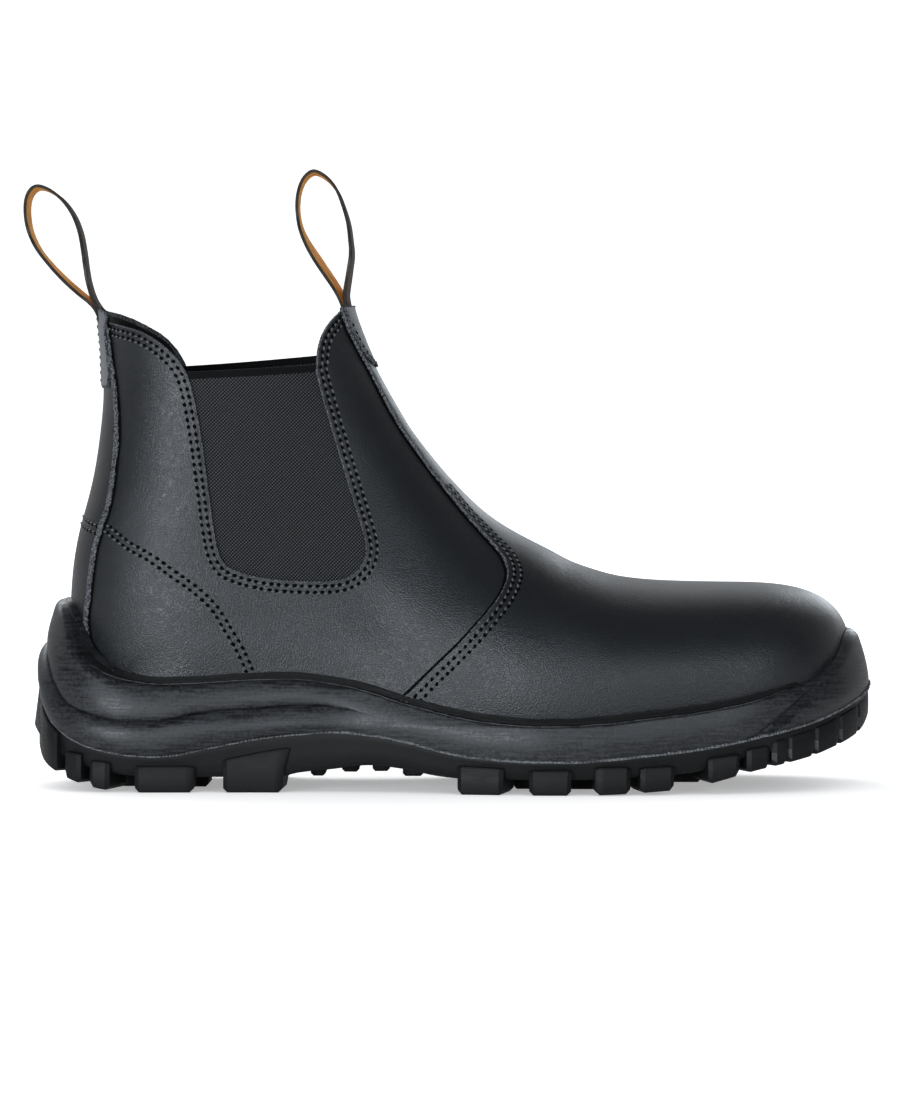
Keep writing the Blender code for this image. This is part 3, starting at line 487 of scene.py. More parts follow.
def thicken(sheet, thickness, edge_round, ragged=0.0, gap_shadow=None):
    """Give a cut sheet its thickness. Its rounded edge and flesh side take the second material,
    and a near-black flange beside the edge, painted shadow of the gap under it, takes the third."""
    chance = np.random.default_rng(3)
    rim = [e for e in sheet.edges if e.is_boundary]
    outward = {}
    for edge in rim:
        face = edge.link_faces[0]
        a, b = edge.verts
        across = (b.co - a.co).cross(face.normal).normalized()
        if across.dot(face.calc_center_median() - a.co) > 0:
            across.negate()
        for vert in (a, b):
            outward[vert] = outward.get(vert, Vector()) + across
    normals = {v: v.normal.copy() for v in sheet.verts}
    faces = list(sheet.faces)
    inner = {v: sheet.verts.new(v.co - normals[v] * thickness) for v in list(sheet.verts)}
    for face in faces:
        flesh = sheet.faces.new([inner[v] for v in reversed(face.verts)])
        flesh.material_index = 1
    rows = {}
    for vert, across in outward.items():
        across.normalize()
        n, at = normals[vert], vert.co
        r = edge_round(at) if callable(edge_round) else edge_round
        deep, back = min(r, 0.6 * thickness), min(0.8, 0.5 * thickness)
        middle = []
        for out, down in ((0.7 * r, 0.12 * deep), (r, deep), (r, thickness - 0.5 * back)):
            fray = ragged * (chance.random(2) - 0.5)
            middle.append(sheet.verts.new(at + across * (out + fray[0]) - n * (down + fray[1])))
        # A near-black flange beside the edge: painted shadow of the gap under it.
        if gap_shadow:
            middle.append(sheet.verts.new(at + across * (r + gap_shadow(at)) - n * (thickness + 0.02)))
        inner[vert].co += across * (r - back)
        rows[vert] = [vert, *middle, inner[vert]]
    for edge in rim:
        a, b = edge.verts
        if edge.link_loops[0].vert is not a:
            a, b = b, a
        for k in range(len(rows[a]) - 1):
            strip = sheet.faces.new((rows[b][k], rows[a][k], rows[a][k + 1], rows[b][k + 1]))
            strip.material_index = 2 if gap_shadow and k > 2 else 1
    sheet.normal_update()
    return sheet


def boot_piece(name, bm, materials, degrees=38):
    """Finish a piece modelled in millimetres as an object in the model's frame."""
    bmesh.ops.translate(bm, verts=bm.verts, vec=-FRAME_MIDDLE)
    bmesh.ops.scale(bm, verts=bm.verts, vec=(MM, MM, MM))
    mesh = bpy.data.meshes.new(name)
    bm.to_mesh(mesh)
    bm.free()
    for material in materials:
        mesh.materials.append(material)
    mesh.shade_smooth()
    mesh.set_sharp_from_angle(angle=math.radians(degrees))
    piece = bpy.data.objects.new(name, mesh)
    scene.collection.objects.link(piece)
    return piece


def join_boot(piece, node):
    """A piece moves with the boot and stands for a node of the model, which it hides."""
    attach(piece, "root")
    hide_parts(node)


def sewn_panel(name, lift, outlines, thickness, materials, edge_round=EDGE_ROUND, ragged=0.0, gap_shadow=None,
               node="upper", slot="upper_leather"):
    """Cut a panel from the lifted sheet, give it its thickness and join it to the boot."""
    panel = cut_panel(lifted_sheet(lift), outlines)
    join_boot(boot_piece(name, thicken(panel, thickness, edge_round, ragged, gap_shadow), materials), node)


def node_tree(name, kind, inputs, outputs):
    """Empty node tree with named sockets, and the nodes that hold what comes in and goes out."""
    tree = bpy.data.node_groups.new(name, kind)
    for way, sockets in (("INPUT", inputs), ("OUTPUT", outputs)):
        for socket, value_kind in sockets.items():
            tree.interface.new_socket(socket, in_out=way, socket_type=f"NodeSocket{value_kind}")
    return tree, tree.nodes.new("NodeGroupInput").outputs, tree.nodes.new("NodeGroupOutput").inputs


grain, entry, leave = node_tree(
    "leather_grain", "ShaderNodeTree", {"Vector": "Vector", "Pore Scale": "Float", "Mottle Scale": "Float"},
    {"Height": "Float", "Fleck": "Float", "Mottle": "Float"},
)
pores = add_node(grain, "ShaderNodeTexVoronoi", {"Vector": entry["Vector"], "Scale": entry["Pore Scale"]},
                 feature="DISTANCE_TO_EDGE")
pebble = range_node(grain, pores.outputs["Distance"], (0.0, 0.28), step="SMOOTHSTEP")
fleck = add_node(grain, "ShaderNodeTexNoise",
                 {"Vector": entry["Vector"], "Scale": entry["Pore Scale"], "Detail": 3.0})
mottle = add_node(
    grain, "ShaderNodeTexNoise",
    {"Vector": entry["Vector"], "Scale": entry["Mottle Scale"], "Detail": 5.0, "Roughness": 0.6},
)
grain.links.new(math_node(grain, "ADD", pebble, fleck.outputs["Fac"]), leave["Height"])
grain.links.new(fleck.outputs["Fac"], leave["Fleck"])
grain.links.new(mottle.outputs["Fac"], leave["Mottle"])


def patterned(name, group, scales, values):
    """Material with a pattern group laid over the piece, ready for its tone, gloss and bump."""
    material, tree, shader = add_material(name, values)
    place = add_node(tree, "ShaderNodeTexCoord")
    pattern = add_node(tree, "ShaderNodeGroup", node_tree=group)
    tree.links.new(place.outputs["Object"], pattern.inputs["Vector"])
    for socket, scale in scales.items():
        pattern.inputs[socket].default_value = scale
    return material, tree, shader, pattern.outputs


def two_tones(tree, share, dark, light):
    """Output of a mix of two colours by a share that changes over the surface."""
    mixed = {0: share, 6: (*dark, 1.0), 7: (*light, 1.0)}
    return add_node(tree, "ShaderNodeMix", mixed, data_type="RGBA").outputs[2]


def finish_surface(tree, shader, colour, height, strength, depth):
    """Link a material's colour, and raise its surface by a height."""
    bump = add_node(tree, "ShaderNodeBump", {"Height": height, "Strength": strength, "Distance": depth})
    tree.links.new(colour, shader.inputs["Base Color"])
    tree.links.new(bump.outputs["Normal"], shader.inputs["Normal"])


def leather_material(name, dark, light, pore_scale, gloss, depth):
    """Leather whose grain, tone and gloss change a little over the surface."""
    scales = {"Pore Scale": pore_scale, "Mottle Scale": 38.0}
    material, tree, shader, skin = patterned(name, grain, scales, {"Specular IOR Level": 0.5})
    tree.links.new(range_node(tree, skin["Mottle"], (0.3, 0.7), gloss), shader.inputs["Roughness"])
    finish_surface(tree, shader, two_tones(tree, skin["Mottle"], dark, light), skin["Height"], 0.42, depth)
    return material


def raw_material(name, dark, light, fibre_scale):
    """The rough flesh side or cut edge of leather, with pale fibres."""
    plain = {"Roughness": 0.9, "Specular IOR Level": 0.2}
    material, tree, shader, flesh = patterned(name, grain, {"Pore Scale": fibre_scale}, plain)
    fibres = range_node(tree, flesh["Fleck"], (0.38, 0.66))
    finish_surface(tree, shader, two_tones(tree, fibres, dark, light), flesh["Height"], 0.8, 0.0005)
    return material


leather = leather_material(
    "leather", (0.0098, 0.0112, 0.0138), (0.0150, 0.0170, 0.0205), 1150.0, (0.33, 0.43), 0.00012,
)
raw_leather = raw_material("raw_leather", (0.028, 0.030, 0.034), (0.30, 0.31, 0.335), 1700.0)

front_lap = [(x + UNDERLAP, z + UNDERLAP_SLOPE * UNDERLAP) for x, z in VAMP_EDGE]
back_lap = [(x - UNDERLAP, z) for x, z in STRIP_EDGE]
lapped = smooth_line(front_lap, 6) + smooth_line(back_lap[::-1], 6)
QUARTERS = (
    (LATERAL, "quarter_lateral", COLLAR_BACK + GORE_EDGE + COLLAR_FRONT),
    (MEDIAL, "quarter_medial", COLLAR_BACK_MEDIAL + GORE_EDGE_MEDIAL + COLLAR_FRONT),
)
for side, name, top_edge in QUARTERS:
    outlines = {side: smooth_line(top_edge) + lapped}
    sewn_panel(name, QUARTER_LIFT, outlines, WALL, [leather, raw_leather], ragged=QUARTER_RAGGED)


# Vamp
# One piece of the same leather over the toes and instep, which narrows up the front of the shaft.
# Its raw edge laps over the quarters, with a near-black flange beside it that is painted shadow of
# the gap under the edge, and two rows of stitches hold it down.

# The first value is the width of the near-black flange beside the vamp's edge, painted shadow.
VAMP_GAP_SHADOW, VAMP_RAGGED, VAMP_ROUND = 1.1, 0.3, 0.35
VAMP_REST = ((180.0, 8.0), (250.0, 12.0), (330.0, 30.0), (330.0, 175.0), (150.0, 175.0))
# Near-black paint for the flanges beside raw edges: painted shadow of the gaps under them.
gap_shadow_paint, _, _ = add_material(
    "gap_shadow_paint", {"Base Color": (0.0016, 0.0016, 0.0018, 1.0), "Roughness": 0.9, "Specular IOR Level": 0.1},
)
vamp_outline = smooth_line(VAMP_EDGE) + [Vector(p) for p in VAMP_REST]
sewn_panel(
    "vamp", 0.0, {LATERAL: vamp_outline, MEDIAL: vamp_outline}, WALL, [leather, raw_leather, gap_shadow_paint],
    lambda at: VAMP_ROUND * (1 + eased(at.z, 104, 150)), VAMP_RAGGED,
    lambda at: VAMP_GAP_SHADOW * (1 - eased(at.z, 170, 174)),
)


# Back strip
# A strip of leather that covers the seam between the quarters, from the collar to the heel. It is
# cut raw down both sides, and the heel of the midsole grips its foot.

# The first value is the width of the near-black flange beside the strip's edges, painted shadow.
STRIP_GAP_SHADOW, STRIP_RAGGED, STRIP_ROUND, STRIP_RISE = 1.0, 0.6, 1.5, 0.8
STRIP_REST = ((-20.0, 30.0), (-20.0, 175.0))
strip_outline = smooth_line(STRIP_EDGE) + [Vector(p) for p in STRIP_REST]
raised_outline = [p + Vector((0.0, STRIP_RISE * eased(p.y, 150, 172))) for p in strip_outline]
sewn_panel(
    "back_strip", 0.0, {LATERAL: strip_outline, MEDIAL: raised_outline}, WALL,
    [leather, raw_leather, gap_shadow_paint], STRIP_ROUND, STRIP_RAGGED,
    lambda at: STRIP_GAP_SHADOW * (1 - eased(at.z, 169, 172)),
)


# Gores
# Woven elastic in the side openings, which stretches when the foot goes in. Each gore is sewn
# under the leather all round, and a folded binding finishes its top edge.

GORE_LIFT, GORE_THICKNESS, GORE_MARGIN = -2.95, 1.2, 5.5
GORE_TOP = ((50.0, 151.8), (58.1, 152.2), (82.0, 153.4), (105.5, 154.9), (113.0, 155.4))
GORE_TOP_MEDIAL = ((44.0, 155.6), (54.0, 156.4), (80.0, 158.2), (105.5, 160.0), (113.0, 160.6))
GORE_CENTRE = Vector((92.0, 112.0))
BINDING_LIFT, BINDING_THICKNESS, BINDING_HEIGHT, BINDING_ROUND = -2.3, 2.4, 1.8, 0.5
WEAVE_PITCH, BINDING_PITCH = 0.00118, 0.0006

weave, entry, leave = node_tree(
    "weave", "ShaderNodeTree", {"Vector": "Vector", "Turns": "Float"}, {"Height": "Float", "Lit Crown": "Float"},
)
parts = add_node(weave, "ShaderNodeSeparateXYZ", {"Vector": entry["Vector"]}).outputs
waves = []
for operation, reach in (("ADD", 1.0), ("SUBTRACT", 0.88)):
    slant = math_node(weave, operation, parts["X"], parts["Z"])
    turns = math_node(weave, "MULTIPLY", math_node(weave, "MULTIPLY", slant, reach), entry["Turns"])
    waves.append(math_node(weave, "ABSOLUTE", math_node(weave, "SINE", turns)))
lobes = math_node(weave, "MULTIPLY", *waves)
weave.links.new(lobes, leave["Height"])
# The crowns lighten the cloth's colour: painted highlight on the raised threads, painted shade between them.
weave.links.new(range_node(weave, lobes, (0.35, 0.75), step="SMOOTHSTEP"), leave["Lit Crown"])


def cloth_material(name, dark, light, pitch, roughness, depth):
    """Woven cloth whose thread crowns are painted lighter and the hollows between them darker: a painted
    highlight and painted shade on the weave.
    """
    plain = {"Roughness": roughness, "Specular IOR Level": 0.25}
    material, tree, shader, cloth = patterned(name, weave, {"Turns": math.pi / pitch}, plain)
    finish_surface(tree, shader, two_tones(tree, cloth["Lit Crown"], dark, light), cloth["Height"], 0.6, depth)
    return material


elastic = cloth_material("elastic", (0.002, 0.002, 0.0023), (0.084, 0.086, 0.092), WEAVE_PITCH, 0.85, 0.0002)
binding_cloth = cloth_material(
    "binding", (0.002, 0.002, 0.0022), (0.006, 0.006, 0.0065), BINDING_PITCH, 0.95, 0.0001,
)


def grown(points, margin):
    """A gore's outline moved away from its centre by a margin."""
    moved = []
    for point in points:
        away = Vector(point) - GORE_CENTRE
        moved.append(Vector(point) + away.normalized() * margin)
    return moved


GORES = (
    (LATERAL, "lateral", GORE_EDGE, GORE_TOP),
    (MEDIAL, "medial", GORE_EDGE_MEDIAL, GORE_TOP_MEDIAL),
)
for side, name, edge, top in GORES:
    gore_slot = {"node": f"gore_{name}", "slot": "gore_elastic"}
    outline = smooth_line(grown(edge[1:-1], GORE_MARGIN)) + smooth_line(top[::-1])
    sewn_panel(f"gore_elastic_{name}", GORE_LIFT, {side: outline}, GORE_THICKNESS,
               [elastic, elastic], **gore_slot)
    outline = smooth_line(top) + [p - Vector((0.0, BINDING_HEIGHT)) for p in smooth_line(top[::-1])]
    sewn_panel(f"gore_binding_{name}", BINDING_LIFT, {side: outline}, BINDING_THICKNESS,
               [binding_cloth, binding_cloth], BINDING_ROUND, **gore_slot)


# Lining
# A thin black cloth that lines the whole inside of the leather. It is glued in, and cut back a
# little from the collar and the gores so that the leather's flesh side shows above it.

LINING_LIFT, LINING_THICKNESS, LINING_ROUND, LINING_PITCH = -3.0, 0.6, 0.2, 0.0011
LINING_DROP, LINING_GAP = 1.5, 0.6
LINING_FRONT = (
    (112.5, 160.0), (114.5, 168.0), (116.6, 174.6), (150.0, 174.6), (340.0, 90.0), (340.0, 10.0),
    (180.0, 6.0), (-20.0, 20.0), (-20.0, 170.0),
)
lining_cloth = cloth_material(
    "lining", (0.004, 0.004, 0.0042), (0.012, 0.012, 0.012), LINING_PITCH, 0.9, 0.0002,
)
outlines = {}
for side, collar, edge in ((LATERAL, COLLAR_BACK, GORE_EDGE), (MEDIAL, COLLAR_BACK_MEDIAL, GORE_EDGE_MEDIAL)):
    top_edge = [(x, z - LINING_DROP) for x, z in collar[1:-1]] + grown(edge[:-2], GORE_MARGIN + LINING_GAP)
    outlines[side] = smooth_line(top_edge) + [Vector(p) for p in LINING_FRONT]
sewn_panel("lining", LINING_LIFT, outlines, LINING_THICKNESS, [lining_cloth, lining_cloth], LINING_ROUND)


# Pull loops
# A band of woven webbing folded over at the back and at the front of the collar, grey-brown
# outside with an orange inner face. Both ends are pressed together and sewn into the collar.

REAR_LOOP = (
    (26.4, 169.5), (24.6, 174.9), (22.0, 178.3), (17.8, 181.8), (12.2, 186.8), (6.7, 192.6), (2.2, 198.5),
    (-0.7, 205.1), (-1.7, 211.8), (-1.1, 217.1), (1.1, 220.3), (4.1, 220.7), (8.5, 218.6),
    (12.6, 214.9), (15.9, 209.9), (18.1, 204.0), (19.3, 197.7), (20.2, 191.1), (21.2, 185.5),
    (23.0, 179.8), (25.8, 174.9), (27.5, 169.5),
)
FRONT_LOOP = (
    (117.2, 170.5), (115.6, 177.5), (114.2, 181.0), (112.0, 184.8), (109.2, 188.9), (105.8, 194.0),
    (102.1, 200.0), (99.5, 205.9), (98.4, 212.5), (98.8, 218.5), (100.6, 223.4), (103.6, 226.2),
    (106.6, 225.8), (110.3, 223.1), (113.2, 219.1), (115.4, 213.6), (117.2, 207.4), (118.0, 201.4),
    (118.4, 196.3), (117.8, 191.1), (117.0, 185.9), (116.4, 181.3), (116.9, 177.5), (118.5, 170.5),
)
WEBBING_HALF, WEBBING_THICK, WEBBING_EDGE, WEBBING_MIDDLE, WEBBING_Y = 9.0, 0.575, 0.4, 3.0, 0.3
INNER_FACE_SHIFT = 20.0
REAR_TWIST = {"x": (0.0, 0.12, 0.3, 0.5, 0.8, 1.0), "z": (0.0, 4.0, 1.0, 0.0, 0.0, -3.0)}
FRONT_TWIST = {"x": (0.0, 0.08, 0.2, 0.36, 0.5, 1.0), "z": (2.0, 7.0, 8.0, 1.0, 0.0, -5.0)}


def webbing_material(name, ground, fleck, fleck_ends):
    """Webbing with fine lengthwise threads, cross ribs and a broken stripe of another colour."""
    material, tree, shader = add_material(name, {"Roughness": 0.85, "Specular IOR Level": 0.2})
    place = add_node(tree, "ShaderNodeTexCoord").outputs["UV"]
    noises = []
    for stretch, detail in (((0.25, 2.6, 1.0), 3.0), ((0.07, 1.5, 1.0), 2.0)):
        drawn = add_node(tree, "ShaderNodeMapping", {"Vector": place, "Scale": stretch}).outputs[0]
        noise = add_node(tree, "ShaderNodeTexNoise", {"Vector": drawn, "Scale": 1.0, "Detail": detail})
        noises.append(noise.outputs["Fac"])
    threads, dashes = noises
    ribs = add_node(tree, "ShaderNodeTexWave", {"Vector": place, "Scale": 0.42, "Distortion": 0.6},
                    bands_direction="X")
    tone = two_tones(tree, range_node(tree, dashes, fleck_ends), ground, fleck)
    shade = range_node(tree, threads, (0.3, 0.7), (0.45, 1.25))
    worked = add_node(tree, "ShaderNodeMix", {0: 1.0, 6: tone, 7: shade},
                      data_type="RGBA", blend_type="MULTIPLY")
    height = math_node(tree, "ADD", threads, ribs.outputs["Fac"])
    finish_surface(tree, shader, worked.outputs[2], height, 0.5, 0.0002)
    return material


WEBBINGS = [
    webbing_material("webbing_outside", (0.075, 0.067, 0.060), (0.62, 0.27, 0.05), (0.60, 0.66)),
    webbing_material("webbing_inside", (1.0, 0.54, 0.12), (0.09, 0.055, 0.03), (0.56, 0.62)),
    webbing_material("webbing_edge", (0.045, 0.041, 0.038), (0.10, 0.09, 0.08), (0.5, 0.7)),
]
shoulder = WEBBING_HALF - WEBBING_EDGE
ACROSS = (-WEBBING_HALF, -shoulder, -WEBBING_MIDDLE, WEBBING_MIDDLE, shoulder, WEBBING_HALF)
THROUGH = (0.35, WEBBING_THICK, WEBBING_THICK, WEBBING_THICK, WEBBING_THICK, 0.35)
BAND_PROFILE = [(w, -t) for w, t in zip(ACROSS, THROUGH)] + [(-w, t) for w, t in zip(ACROSS, THROUGH)]
BAND_SLOTS = (2, 1, 1, 1, 2, 2, 2, 0, 0, 0, 2, 2)


def webbing_band(route, twist):
    """A band swept along a route in the boot's middle plane, turned a little along its way."""
    band = bmesh.new()
    sheet = band.loops.layers.uv.new("webbing")
    line = smooth_line(route, 1.0)
    rings, runs, run = [], [], 0.0
    for i, point in enumerate(line):
        ahead = line[min(i + 1, len(line) - 1)] - line[max(i - 1, 0)]
        ahead = Vector((ahead.x, 0.0, ahead.y)).normalized()
        turn = math.radians(along(twist, i / (len(line) - 1)))
        out = Vector((0.0, 1.0, 0.0)).cross(ahead)
        wide = Vector((0.0, 1.0, 0.0)) * math.cos(turn) + out * math.sin(turn)
        thick = ahead.cross(wide)
        place = Vector((point.x, WEBBING_Y, point.y))
        rings.append([band.verts.new(place + wide * w + thick * t) for w, t in BAND_PROFILE])
        run += (line[i] - line[i - 1]).length if i else 0.0
        runs.append(run)
    count = len(BAND_PROFILE)
    for i in range(len(rings) - 1):
        for k in range(count):
            after = (k + 1) % count
            face = band.faces.new((rings[i][k], rings[i][after], rings[i + 1][after], rings[i + 1][k]))
            face.material_index = BAND_SLOTS[k]
            spots = ((runs[i], k), (runs[i], k + 1), (runs[i + 1], k + 1), (runs[i + 1], k))
            shift = INNER_FACE_SHIFT if k > 5 else 0.0
            for loop, (s, place) in zip(face.loops, spots):
                loop[sheet].uv = (s, BAND_PROFILE[place % count][0] + shift)
    band.faces.new(rings[0][::-1])
    band.faces.new(rings[-1])
    bmesh.ops.recalc_face_normals(band, faces=band.faces)
    return band


for name, route, twist in (("rear", REAR_LOOP, REAR_TWIST), ("front", FRONT_LOOP, FRONT_TWIST)):
    loop = boot_piece(f"webbing_{name}", webbing_band(route, twist), WEBBINGS, 50)
    join_boot(loop, f"pull_loop_{name}")


# Folded tabs
# Short pieces of raw split leather folded over the collar at the back and at the front, sewn down
# over the back strip and the vamp. They hold the ends of the pull loops.

TAB_LIFT, TAB_THICKNESS, TAB_ROUND, TAB_RAGGED = 0.85, 0.9, 0.5, 0.9
REAR_TAB = (
    (10.0, 175.4), (25.2, 175.2), (27.4, 173.2), (26.4, 169.0), (27.2, 160.0), (28.1, 152.0),
    (27.6, 147.6), (10.0, 146.8),
)
FRONT_TAB = (
    (116.2, 176.6), (118.0, 170.6), (120.8, 164.8), (124.6, 158.6), (129.2, 153.8), (150.0, 153.4),
    (150.0, 176.6),
)
split_leather = leather_material(
    "split_leather", (0.10, 0.106, 0.118), (0.24, 0.25, 0.27), 900.0, (0.42, 0.55), 0.0004,
)
for name, outline in (("rear", REAR_TAB), ("front", FRONT_TAB)):
    outlines = {side: [Vector(p) for p in outline] for side in (LATERAL, MEDIAL)}
    sewn_panel(f"tab_{name}", TAB_LIFT, outlines, TAB_THICKNESS, [split_leather, raw_leather],
               TAB_ROUND, TAB_RAGGED)


# Stitches
# Thread sewn in double rows along the vamp's edge, round the collar and gores, over the counter
# inside the heel, across the back strip and down the rear tab. A single row holds the front tab. The
# thread is drawn mid grey: dark thread with a painted highlight on its raised bits.
# Each stitch dips into a small needle hole, drawn as a flat near-black blob: painted shade in the pit.

STITCH_PITCH, STITCH_LENGTH, STITCH_THICKNESS, STITCH_LIFT = 2.75, 1.6, 0.72, 0.1
HOLE_LENGTH, HOLE_WIDTH, HOLE_DEPTH, STITCH_SLANT = 1.9, 1.35, 0.24, 0.28
VAMP_ROWS, COLLAR_ROWS, COUNTER_ROWS = (1.8, 4.3), (1.8, 4.0), (0.0, 2.4)
VAMP_SEAM = ((153.2, 110.4),) + VAMP_EDGE[5:]
COUNTER_ROW = (
    (28.1, 95.6), (32.0, 92.4), (36.6, 88.9), (44.8, 84.1), (53.1, 78.2), (61.3, 72.3), (67.9, 66.0),
    (72.9, 58.2), (77.7, 50.1), (81.8, 41.2),
)
STRIP_ROWS, STRIP_HALF, STRIP_ROW_DROP = (99.4, 96.8), 23.0, 3.6
TAB_ROW, REAR_ROW_HALF, REAR_ROW_ENDS = 0.9, 2.6, (172.0, 149.5)
INSIDE_SHAFT, BACKWARDS = 60.0, Vector((-1.0, 0.0, 0.0))
tree_tab = BVHTree.FromBMesh(lifted_sheet(TAB_LIFT))
tree_outer = BVHTree.FromBMesh(lifted_sheet(0.0))
tree_under = BVHTree.FromBMesh(lifted_sheet(QUARTER_LIFT))


def on_surface(tree, seen, side):
    """Point and normal of the leather where it shows at a place in the side view."""
    eye = Vector((EYE_X, side * EYE_AWAY, EYE_Z))
    place, normal, _, _ = tree.ray_cast(eye, Vector((seen.x, 0.0, seen.y)) - eye)
    return place, normal


def seam_row(tree, edge, away, side):
    """A row of sewing beside an edge drawn in the side view. Positive is right of its way."""
    points = [on_surface(tree, p, side) for p in smooth_line(edge, 1.0)]
    points = [p for p in points if p[0]]
    row = []
    for i, (place, normal) in enumerate(points):
        run = points[min(i + 2, len(points) - 1)][0] - points[max(i - 2, 0)][0]
        beside = place - run.cross(normal).normalized() * (away * side)
        place, normal, _, _ = tree.find_nearest(beside)
        row.append((place, normal))
    return row


rows = []
for side, _, top_edge in QUARTERS:
    rows += [seam_row(tree_outer, VAMP_SEAM, -away, side) for away in VAMP_ROWS]
    rows += [seam_row(tree_under, top_edge[1:], away, side) for away in COLLAR_ROWS]
    rows += [seam_row(tree_under, COUNTER_ROW, away, side) for away in COUNTER_ROWS]
    rows.append(seam_row(tree_tab, FRONT_TAB[1:5], -TAB_ROW, side))
for z in STRIP_ROWS:
    across = np.linspace(-STRIP_HALF, STRIP_HALF, 45)
    across = [(y, z - STRIP_ROW_DROP * (y / STRIP_HALF) ** 2) for y in across]
    rows.append([tree_outer.ray_cast((INSIDE_SHAFT, *spot), BACKWARDS)[:2] for spot in across])
for y in (-REAR_ROW_HALF, REAR_ROW_HALF):
    down = [(y, z) for z in np.linspace(*REAR_ROW_ENDS, 23)]
    rows.append([tree_tab.ray_cast((INSIDE_SHAFT, *spot), BACKWARDS)[:2] for spot in down])

row_mesh = bpy.data.meshes.new("seam_rows")
points, links, lies = [], [], []
for row in rows:
    links += [(len(points) + i, len(points) + i + 1) for i in range(len(row) - 1)]
    points += [(place - FRAME_MIDDLE) * MM for place, _ in row]
    lies += [normal for _, normal in row]
row_mesh.from_pydata(points, links, [])
lie = row_mesh.attributes.new("lie", "FLOAT_VECTOR", "POINT")
lie.data.foreach_set("vector", np.array(lies, dtype=np.float32).ravel())

# Mid grey thread: dark thread with a painted highlight on its raised bits.
thread, _, _ = add_material("thread", {"Base Color": (0.13, 0.134, 0.142, 1.0), "Roughness": 0.75})
# Near-black holes standing on the leather: painted shade in the needle pits.
needle_hole_shade, _, _ = add_material(
    "needle_hole_shade",
    {"Base Color": (0.0012, 0.0012, 0.0012, 1.0), "Roughness": 0.95, "Specular IOR Level": 0.1},
)

sewing, entry, leave = node_tree(
    "sewn_rows", "GeometryNodeTree",
    {"Geometry": "Geometry", "Pitch": "Float", "Stitch Scale": "Vector", "Hole Scale": "Vector",
     "Lift": "Vector", "Slant": "Rotation", "Thread": "Material", "Hole": "Material"},
    {"Geometry": "Geometry"},
)
curve = add_node(sewing, "GeometryNodeMeshToCurve", {"Mesh": entry["Geometry"]})
spots = add_node(sewing, "GeometryNodeCurveToPoints", {"Curve": curve.outputs[0], "Length": entry["Pitch"]},
                 mode="LENGTH")
normal = add_node(sewing, "GeometryNodeInputNamedAttribute", {"Name": "lie"}, data_type="FLOAT_VECTOR")
turned = add_node(sewing, "FunctionNodeAlignRotationToVector", {"Vector": spots.outputs["Tangent"]}, axis="X")
upright = add_node(sewing, "FunctionNodeAlignRotationToVector",
                   {"Rotation": turned.outputs[0], "Vector": normal.outputs["Attribute"]},
                   axis="Z", pivot_axis="X")
slanted = add_node(sewing, "FunctionNodeRotateRotation",
                   {"Rotation": upright.outputs[0], "Rotate By": entry["Slant"]}, rotation_space="LOCAL")
wobble = add_node(sewing, "FunctionNodeRandomValue",
                  {"Min": (0.86, 0.9, 0.9), "Max": (1.1, 1.1, 1.15), "Seed": 7}, data_type="FLOAT_VECTOR")
half_on = add_node(sewing, "ShaderNodeCombineXYZ", {"X": math_node(sewing, "MULTIPLY", entry["Pitch"], 0.5)})
joined = add_node(sewing, "GeometryNodeJoinGeometry")
for paint, segments, scale, move in (("Thread", 8, "Stitch Scale", entry["Lift"]),
                                     ("Hole", 10, "Hole Scale", half_on.outputs[0])):
    ball = add_node(sewing, "GeometryNodeMeshUVSphere", {"Segments": segments, "Rings": 6, "Radius": 1.0})
    form = add_node(sewing, "GeometryNodeTransform",
                    {"Geometry": ball.outputs["Mesh"], "Scale": entry[scale], "Translation": move})
    copies = add_node(sewing, "GeometryNodeInstanceOnPoints",
                      {"Points": spots.outputs["Points"], "Instance": form.outputs[0],
                       "Rotation": slanted.outputs[0], "Scale": wobble.outputs[0]})
    real = add_node(sewing, "GeometryNodeRealizeInstances", {"Geometry": copies.outputs[0]})
    soft = add_node(sewing, "GeometryNodeSetShadeSmooth", {"Geometry": real.outputs[0]})
    painted = add_node(sewing, "GeometryNodeSetMaterial",
                       {"Geometry": soft.outputs[0], "Material": entry[paint]})
    sewing.links.new(painted.outputs[0], joined.inputs[0])
sewing.links.new(joined.outputs[0], leave["Geometry"])


def made_by_nodes(name, mesh, tree, values):
    """Plain mesh object that a geometry node tree makes from a mesh of places."""
    places = bpy.data.objects.new(f"{name}_places", mesh)
    scene.collection.objects.link(places)
    modifier = places.modifiers.new(name, "NODES")
    modifier.node_group = tree
    for item in tree.interface.items_tree:
        if item.item_type == "SOCKET" and item.in_out == "INPUT" and item.name in values:
            modifier[item.identifier] = values[item.name]
    seen = places.evaluated_get(bpy.context.evaluated_depsgraph_get())
    made = bpy.data.meshes.new_from_object(seen)
    made.name = name
    bpy.data.objects.remove(places)
    piece = bpy.data.objects.new(name, made)
    scene.collection.objects.link(piece)
    return piece


stitches = made_by_nodes("stitches", row_mesh, sewing, {
    "Pitch": STITCH_PITCH * MM,
    "Stitch Scale": (STITCH_LENGTH / 2 * MM, STITCH_THICKNESS / 2 * MM, STITCH_THICKNESS / 2 * MM),
    "Hole Scale": (HOLE_LENGTH / 2 * MM, HOLE_WIDTH / 2 * MM, HOLE_DEPTH / 2 * MM),
    "Lift": (0.0, 0.0, STITCH_LIFT * MM),
    "Slant": (0.0, 0.0, STITCH_SLANT),
    "Thread": thread,
    "Hole": needle_hole_shade,
})
join_boot(stitches, "upper")


# Insole
# A loose insole of dark grey felt, cut to the shape of the foot. It lies on the midsole's floor
# inside the lining and isn't fixed, so it can be taken out.

